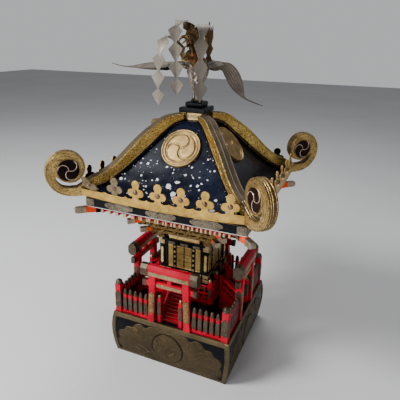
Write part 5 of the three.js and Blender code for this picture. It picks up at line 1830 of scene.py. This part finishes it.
def add_crest(piece):
    """The cut sheet of the comb with its ribs, and the long hackle in front of the neck."""
    piece.add(prism(CREST, -19.2, -16.8), "phoenix_brown", bevel=0.3)
    for ends in CREST_RIBS:
        piece.add(tube([(l, -19.5, z) for l, z in ends], 0.9), "phoenix_brown")
    hackle = [(bird(l, f, z), half, UP) for l, f, z, half in ((-14, 22, 908, 6), (-23, 23.5, 903, 6),
                                                              (-32, 24, 896, 4.2), (-40, 24, 888, 0.9))]
    piece.add(sheet_strip(hackle, 1.4, 0.6), "phoenix_brown")


def neck_finish(place, _normal):
    return "phoenix_red" if 880 < place.z < 905 and place.y < -14 else "phoenix_brown"


def build_phoenix_body():
    piece = Piece("phoenix_body_fine", BIRD)
    piece.add(post(0, 0, 17, 11, BIRD_FLOOR, BIRD_FLOOR + 3), "dark_bronze", bevel=0.9)
    for l in (-9, 8):
        add_leg(piece, l)
    piece.add(egg(bird(*TRUNK), TRUNK_RADII, squeeze=0.22), "phoenix_body_sheet")
    add_breast(piece)
    neck = [bird(-3, 12, 876), bird(-9, 19, 892), bird(-14, 22, 908), bird(-18, 20.5, 926),
            bird(-20, 18, 941)]
    piece.add(limb(neck, [19, 14.5, 10, 8, 7.2]), neck_finish)
    add_hackles(piece)
    piece.add(egg(bird(-22, 18, 942), (15, 9, 11), 12, 18), "phoenix_brown")
    for side in (-1, 1):
        add_face(piece, side)
    add_beak(piece)
    add_crest(piece)
    piece.make("grey_brass", ["phoenix_body"])


UPRIGHT = (0.1, 0.2, 1)
LEFT_WING = (  # left or right, forwards, up, half width
    (-22, 0, 874, 11), (-45, 0, 874, 15), (-66, -1, 873, 13), (-78, -1, 872, 14), (-92, 0, 871, 21),
    (-120, 3, 869, 21), (-155, 5, 867, 14), (-180, 7, 866, 5), (-205, 8, 868, 2.4), (-233, 9, 875, 0.8),
)
RIGHT_WING = (  # the same, and the direction of the width
    (22, 0, 872, 10, UPRIGHT), (36, 1, 872, 13, UPRIGHT), (52, 2, 871, 13.5, UPRIGHT),
    (66, 3, 870, 11, UPRIGHT), (82, 3, 863, 17, (0.5, 0, 1)), (96, 3, 846, 19.5, (1, -0.1, 0.8)),
    (109, 2, 822, 18, (1, -0.2, 0.5)), (122, 0, 800, 10, (1, -0.2, 0.5)), (134, -1, 784, 2.8, (1, -0.2, 0.9)),
    (158, -1, 773, 1.7, UPRIGHT), (186, 0, 763, 0.9, UPRIGHT),
)
FLIGHT_FEATHERS = (  # rise, push to the back, share of the width, first and last station
    (-3.4, -3, 0.9, 14, 33), (-6.6, 4, 0.8, 12, 30), (-9.4, 0, 0.66, 10, 27), (3.2, 5, 0.7, 8, 24),
)


def wing_stations(path, per_span=5):
    """Stations of a wing from (l, f, z, half width, width direction), smoothed."""
    knots = [(l, -f, z, half, *width) for l, f, z, half, width in path]
    return [(Vector(knot[:3]), knot[3], Vector(knot[4:])) for knot in smooth(knots, per_span)]


def flight_feather(wing, layer, drop, push, shrink, first, last):
    """A feather under the blade of a wing: part of the blade, moved and narrowed, its tip rising again."""
    stations = [(point + Vector((2 * layer, push, drop)), half * shrink, width)
                for point, half, width in wing[first:last]]
    stations[-1] = (stations[-1][0], 1.0, stations[-1][2])
    count = len(stations) - 1
    return [(point - UP * (drop * smoothstep(k / count, 0.55, 1.0) * 0.8), half, width)
            for k, (point, half, width) in enumerate(stations)]


def build_left_wing():
    level = Vector((0, -1, -0.38))
    wing = wing_stations([(*knot, level) for knot in LEFT_WING])
    piece = Piece("phoenix_wing_left_fine", BIRD)
    piece.add(sheet_strip(wing, 1.6, 0.8, 0.08), "phoenix_wing")
    for layer, feather in enumerate(FLIGHT_FEATHERS):
        finish = "phoenix_wing" if layer % 2 else "phoenix_dark"
        piece.add(sheet_strip(flight_feather(wing, layer, *feather), 1.3, 0.5, 0.05), finish)
    piece.add(egg(bird(-50, 0, 872), (19, 13, 6.5), 8, 20), "phoenix_chased")
    piece.make("grey_brass", ["phoenix_wing_left"])


def add_shoulder(piece):
    """A chased oval on both faces of the right wing, with a wire round the front one and a spiral on it."""
    oval = [(48 + 23 * math.cos(turn), 871 + 13.2 * math.sin(turn)) for turn in full_turn(28)]
    for y in (-3.4, 1.6):
        piece.add(prism(oval, y, y + 1.8), "phoenix_chased", bevel=0.7)
    ring = [(x, -3.6, z) for x, z in oval]
    piece.add(tube(ring + ring[:1], 0.9), "phoenix_body_sheet")
    spiral = [(44 + (1.0 + t * 1.15) * math.cos(t * 1.9), -3.9, 871 + (1.0 + t) * math.sin(t * 1.9))
              for t in np.linspace(0, 8.4, 60)]
    piece.add(tube(spiral, 0.65, 5), "phoenix_body_sheet")


def blade_line(wing, lane):
    """A line along the front face of a wing's blade, at a share of its half width from the middle."""
    line = []
    for k in range(17, 42):
        point, half, width = wing[k]
        across, normal = sheet_frame(wing[k - 1][0], wing[k + 1][0], width)
        line.append(point + across * half * lane + (normal if normal.y < 0 else -normal))
    return line


def build_right_wing():
    wing = wing_stations([(*knot, Vector(width)) for *knot, width in RIGHT_WING])
    piece = Piece("phoenix_wing_right_fine", BIRD)
    piece.add(sheet_strip(wing, 1.6, 0.8, 0.06), "phoenix_wing")
    add_shoulder(piece)
    for lane in (-0.66, -0.33, 0.0, 0.33, 0.66):
        piece.add(tube(blade_line(wing, lane), 0.75, 5), "phoenix_body_sheet")
    piece.make("grey_brass", ["phoenix_wing_right"])


def diamond_strip(knots, width, count, sizes, necks):
    """Stations of a feather cut into a chain of diamonds along a curve."""
    steps, widest = 9, 1 / 3
    stations = []
    for k, point in enumerate(curve_points([bird(*knot) for knot in knots], count * steps)):
        which = min(k // steps, count - 1)
        share = k / steps - which
        size, start, end = (first + (last - first) * at / (count - 1)
                            for (first, last), at in ((sizes, which), (necks, which), (necks, which + 1)))
        if which == count - 1:
            end = 0.6
        if share < widest:
            half = start + (size - start) * share / widest
        else:
            half = size + (end - size) * (share - widest) / (1 - widest)
        stations.append((point, half, width))
    return stations


# Knots (left or right, forwards, up), direction of the width, how many diamonds, half widths of the first
# and last diamond, half widths of the first and last neck.
TAIL = {
    "tail_centre": (
        ((-6, -22, 872), (-14, -38, 912), (-22, -30, 962), (-42, 8, 984), (-60, 42, 962), (-59, 50, 900),
         (-57, 50, 850), (-56, 52, 795)), Vector((1, -0.15, 0)), 8, (17.0, 20.5), (7.5, 2.0)),
    "tail_left": (
        ((-20, -14, 862), (-44, -36, 900), (-62, -26, 935), (-84, 6, 945), (-101, 28, 905),
         (-106, 32, 840), (-105, 34, 765)), Vector((1, -0.5, 0)), 7, (17.0, 20.5), (7.5, 2.0)),
    "tail_right": (
        ((-1, -22, 852), (2, -52, 905), (3, -48, 950), (10, -8, 973), (11, 24, 968), (7, 46, 930),
         (6, 49, 870), (6, 48, 777)), Vector((1, 0.1, 0)), 7, (17.5, 20), (8, 5.0)),
}


def build_hanging_feathers():
    for name, (knots, width, count, sizes, necks) in TAIL.items():
        piece = Piece(f"phoenix_{name}_fine", BIRD)
        feather = sheet_strip(diamond_strip(knots, width, count, sizes, necks), 1.5, 0.9, 0.10)
        # Painted shade and painted light: the rising part behind the bird is brown as in shadow, and the
        # hanging part in front is pale as where lit.
        piece.add(feather, lambda place, normal: "phoenix_brown" if place.y > 8 else "phoenix_sheet",
                  sharp=28)
        piece.make("grey_brass", [f"phoenix_{name}"])


def build_rear_feather():
    """The upright feather: three diamonds that end in a hand of five points, with ribs."""
    turn = Matrix.Rotation(math.radians(31), 4, "Z")
    piece = Piece("phoenix_tail_rear_fine", BIRD @ Matrix.Translation((30.5, 29, 0)) @ turn)
    half = [(5, 858), (14, 880), (6, 897), (15, 914), (9, 926), (14, 944)]
    hand = [(13.5, 960), (13, 972), (11, 973), (9, 955), (7.6, 969), (5, 972), (3, 956), (1.8, 982), (0, 985),
            (-1.8, 981), (-3, 956), (-4.4, 970), (-7, 972), (-9, 948), (-10.5, 957), (-12, 958)]
    outline = half + hand + [(-x, z) for x, z in reversed(half)]
    piece.add(prism(outline, -SHEET / 2, SHEET / 2),
              lambda place, normal: "phoenix_brown" if place.z > 930 else "phoenix_dark", bevel=0.3)
    piece.add(tube([(0, -1.0, z) for z in (868, 900, 930, 960, 978)], 1.1), "phoenix_brown")
    for side in (-1, 1):
        for rib in (((2.5, 936), (5.0, 950), (6.2, 964)), ((5, 934), (9.5, 946), (11.6, 955))):
            piece.add(tube([(side * x, -0.9, z) for x, z in rib], 0.7), "phoenix_brown")
    piece.add(block(-18, -2, -SHEET / 2, SHEET / 2, 858, 870), "phoenix_dark")
    piece.make("grey_brass", ["phoenix_tail_rear"])


# ------------------------------------------------------------------ the whole shrine

make_camera()
for lamp in LIGHTS:
    area_light(*lamp)
make_world()
make_floor()
MATERIALS = make_materials()

build_base().make("black_lacquer", ["base"], name="base_fine")
build_panel().fourfold(SIDES, "base_brass")
build_fence().fourfold(CORNERS, "red_lacquer")
build_torii().fourfold(SIDES, "red_lacquer")
build_stairs().fourfold(SIDES, "red_lacquer")
build_deck().make("red_lacquer", ["veranda_deck"], name="veranda_deck_fine")
build_railing().fourfold(CORNERS, "red_lacquer")
build_plinth().make("black_lacquer", ["sanctuary_plinth"], name="sanctuary_plinth_fine")
build_wall(True).make("black_lacquer", ["sanctuary_wall_front"], name="sanctuary_wall_front_fine")
build_wall(False).fourfold(SIDES, "black_lacquer", start=1)
build_leaf(1)
build_leaf(-1)
build_brackets().make("bracket_gold", ["bracket_complex"])
build_hip().fourfold(CORNERS, "red_lacquer")
build_rafters().fourfold(SIDES, "red_lacquer")
build_roof().make("black_lacquer", ["roof"])
build_eave_plate(True).make("pale_gold", ["eave_plate_front"], name="eave_plate_front_fine")
build_eave_plate(False).fourfold(SIDES, "pale_gold", start=1)
build_ridge().fourfold(CORNERS, "pale_gold")
build_medallion().fourfold(SIDES, "pale_gold")
build_ridge_block().make("pale_gold", ["ridge_block"])
build_roban().make("black_lacquer", ["roban"])
build_phoenix_body()
build_left_wing()
build_right_wing()
build_hanging_feathers()
build_rear_feather()
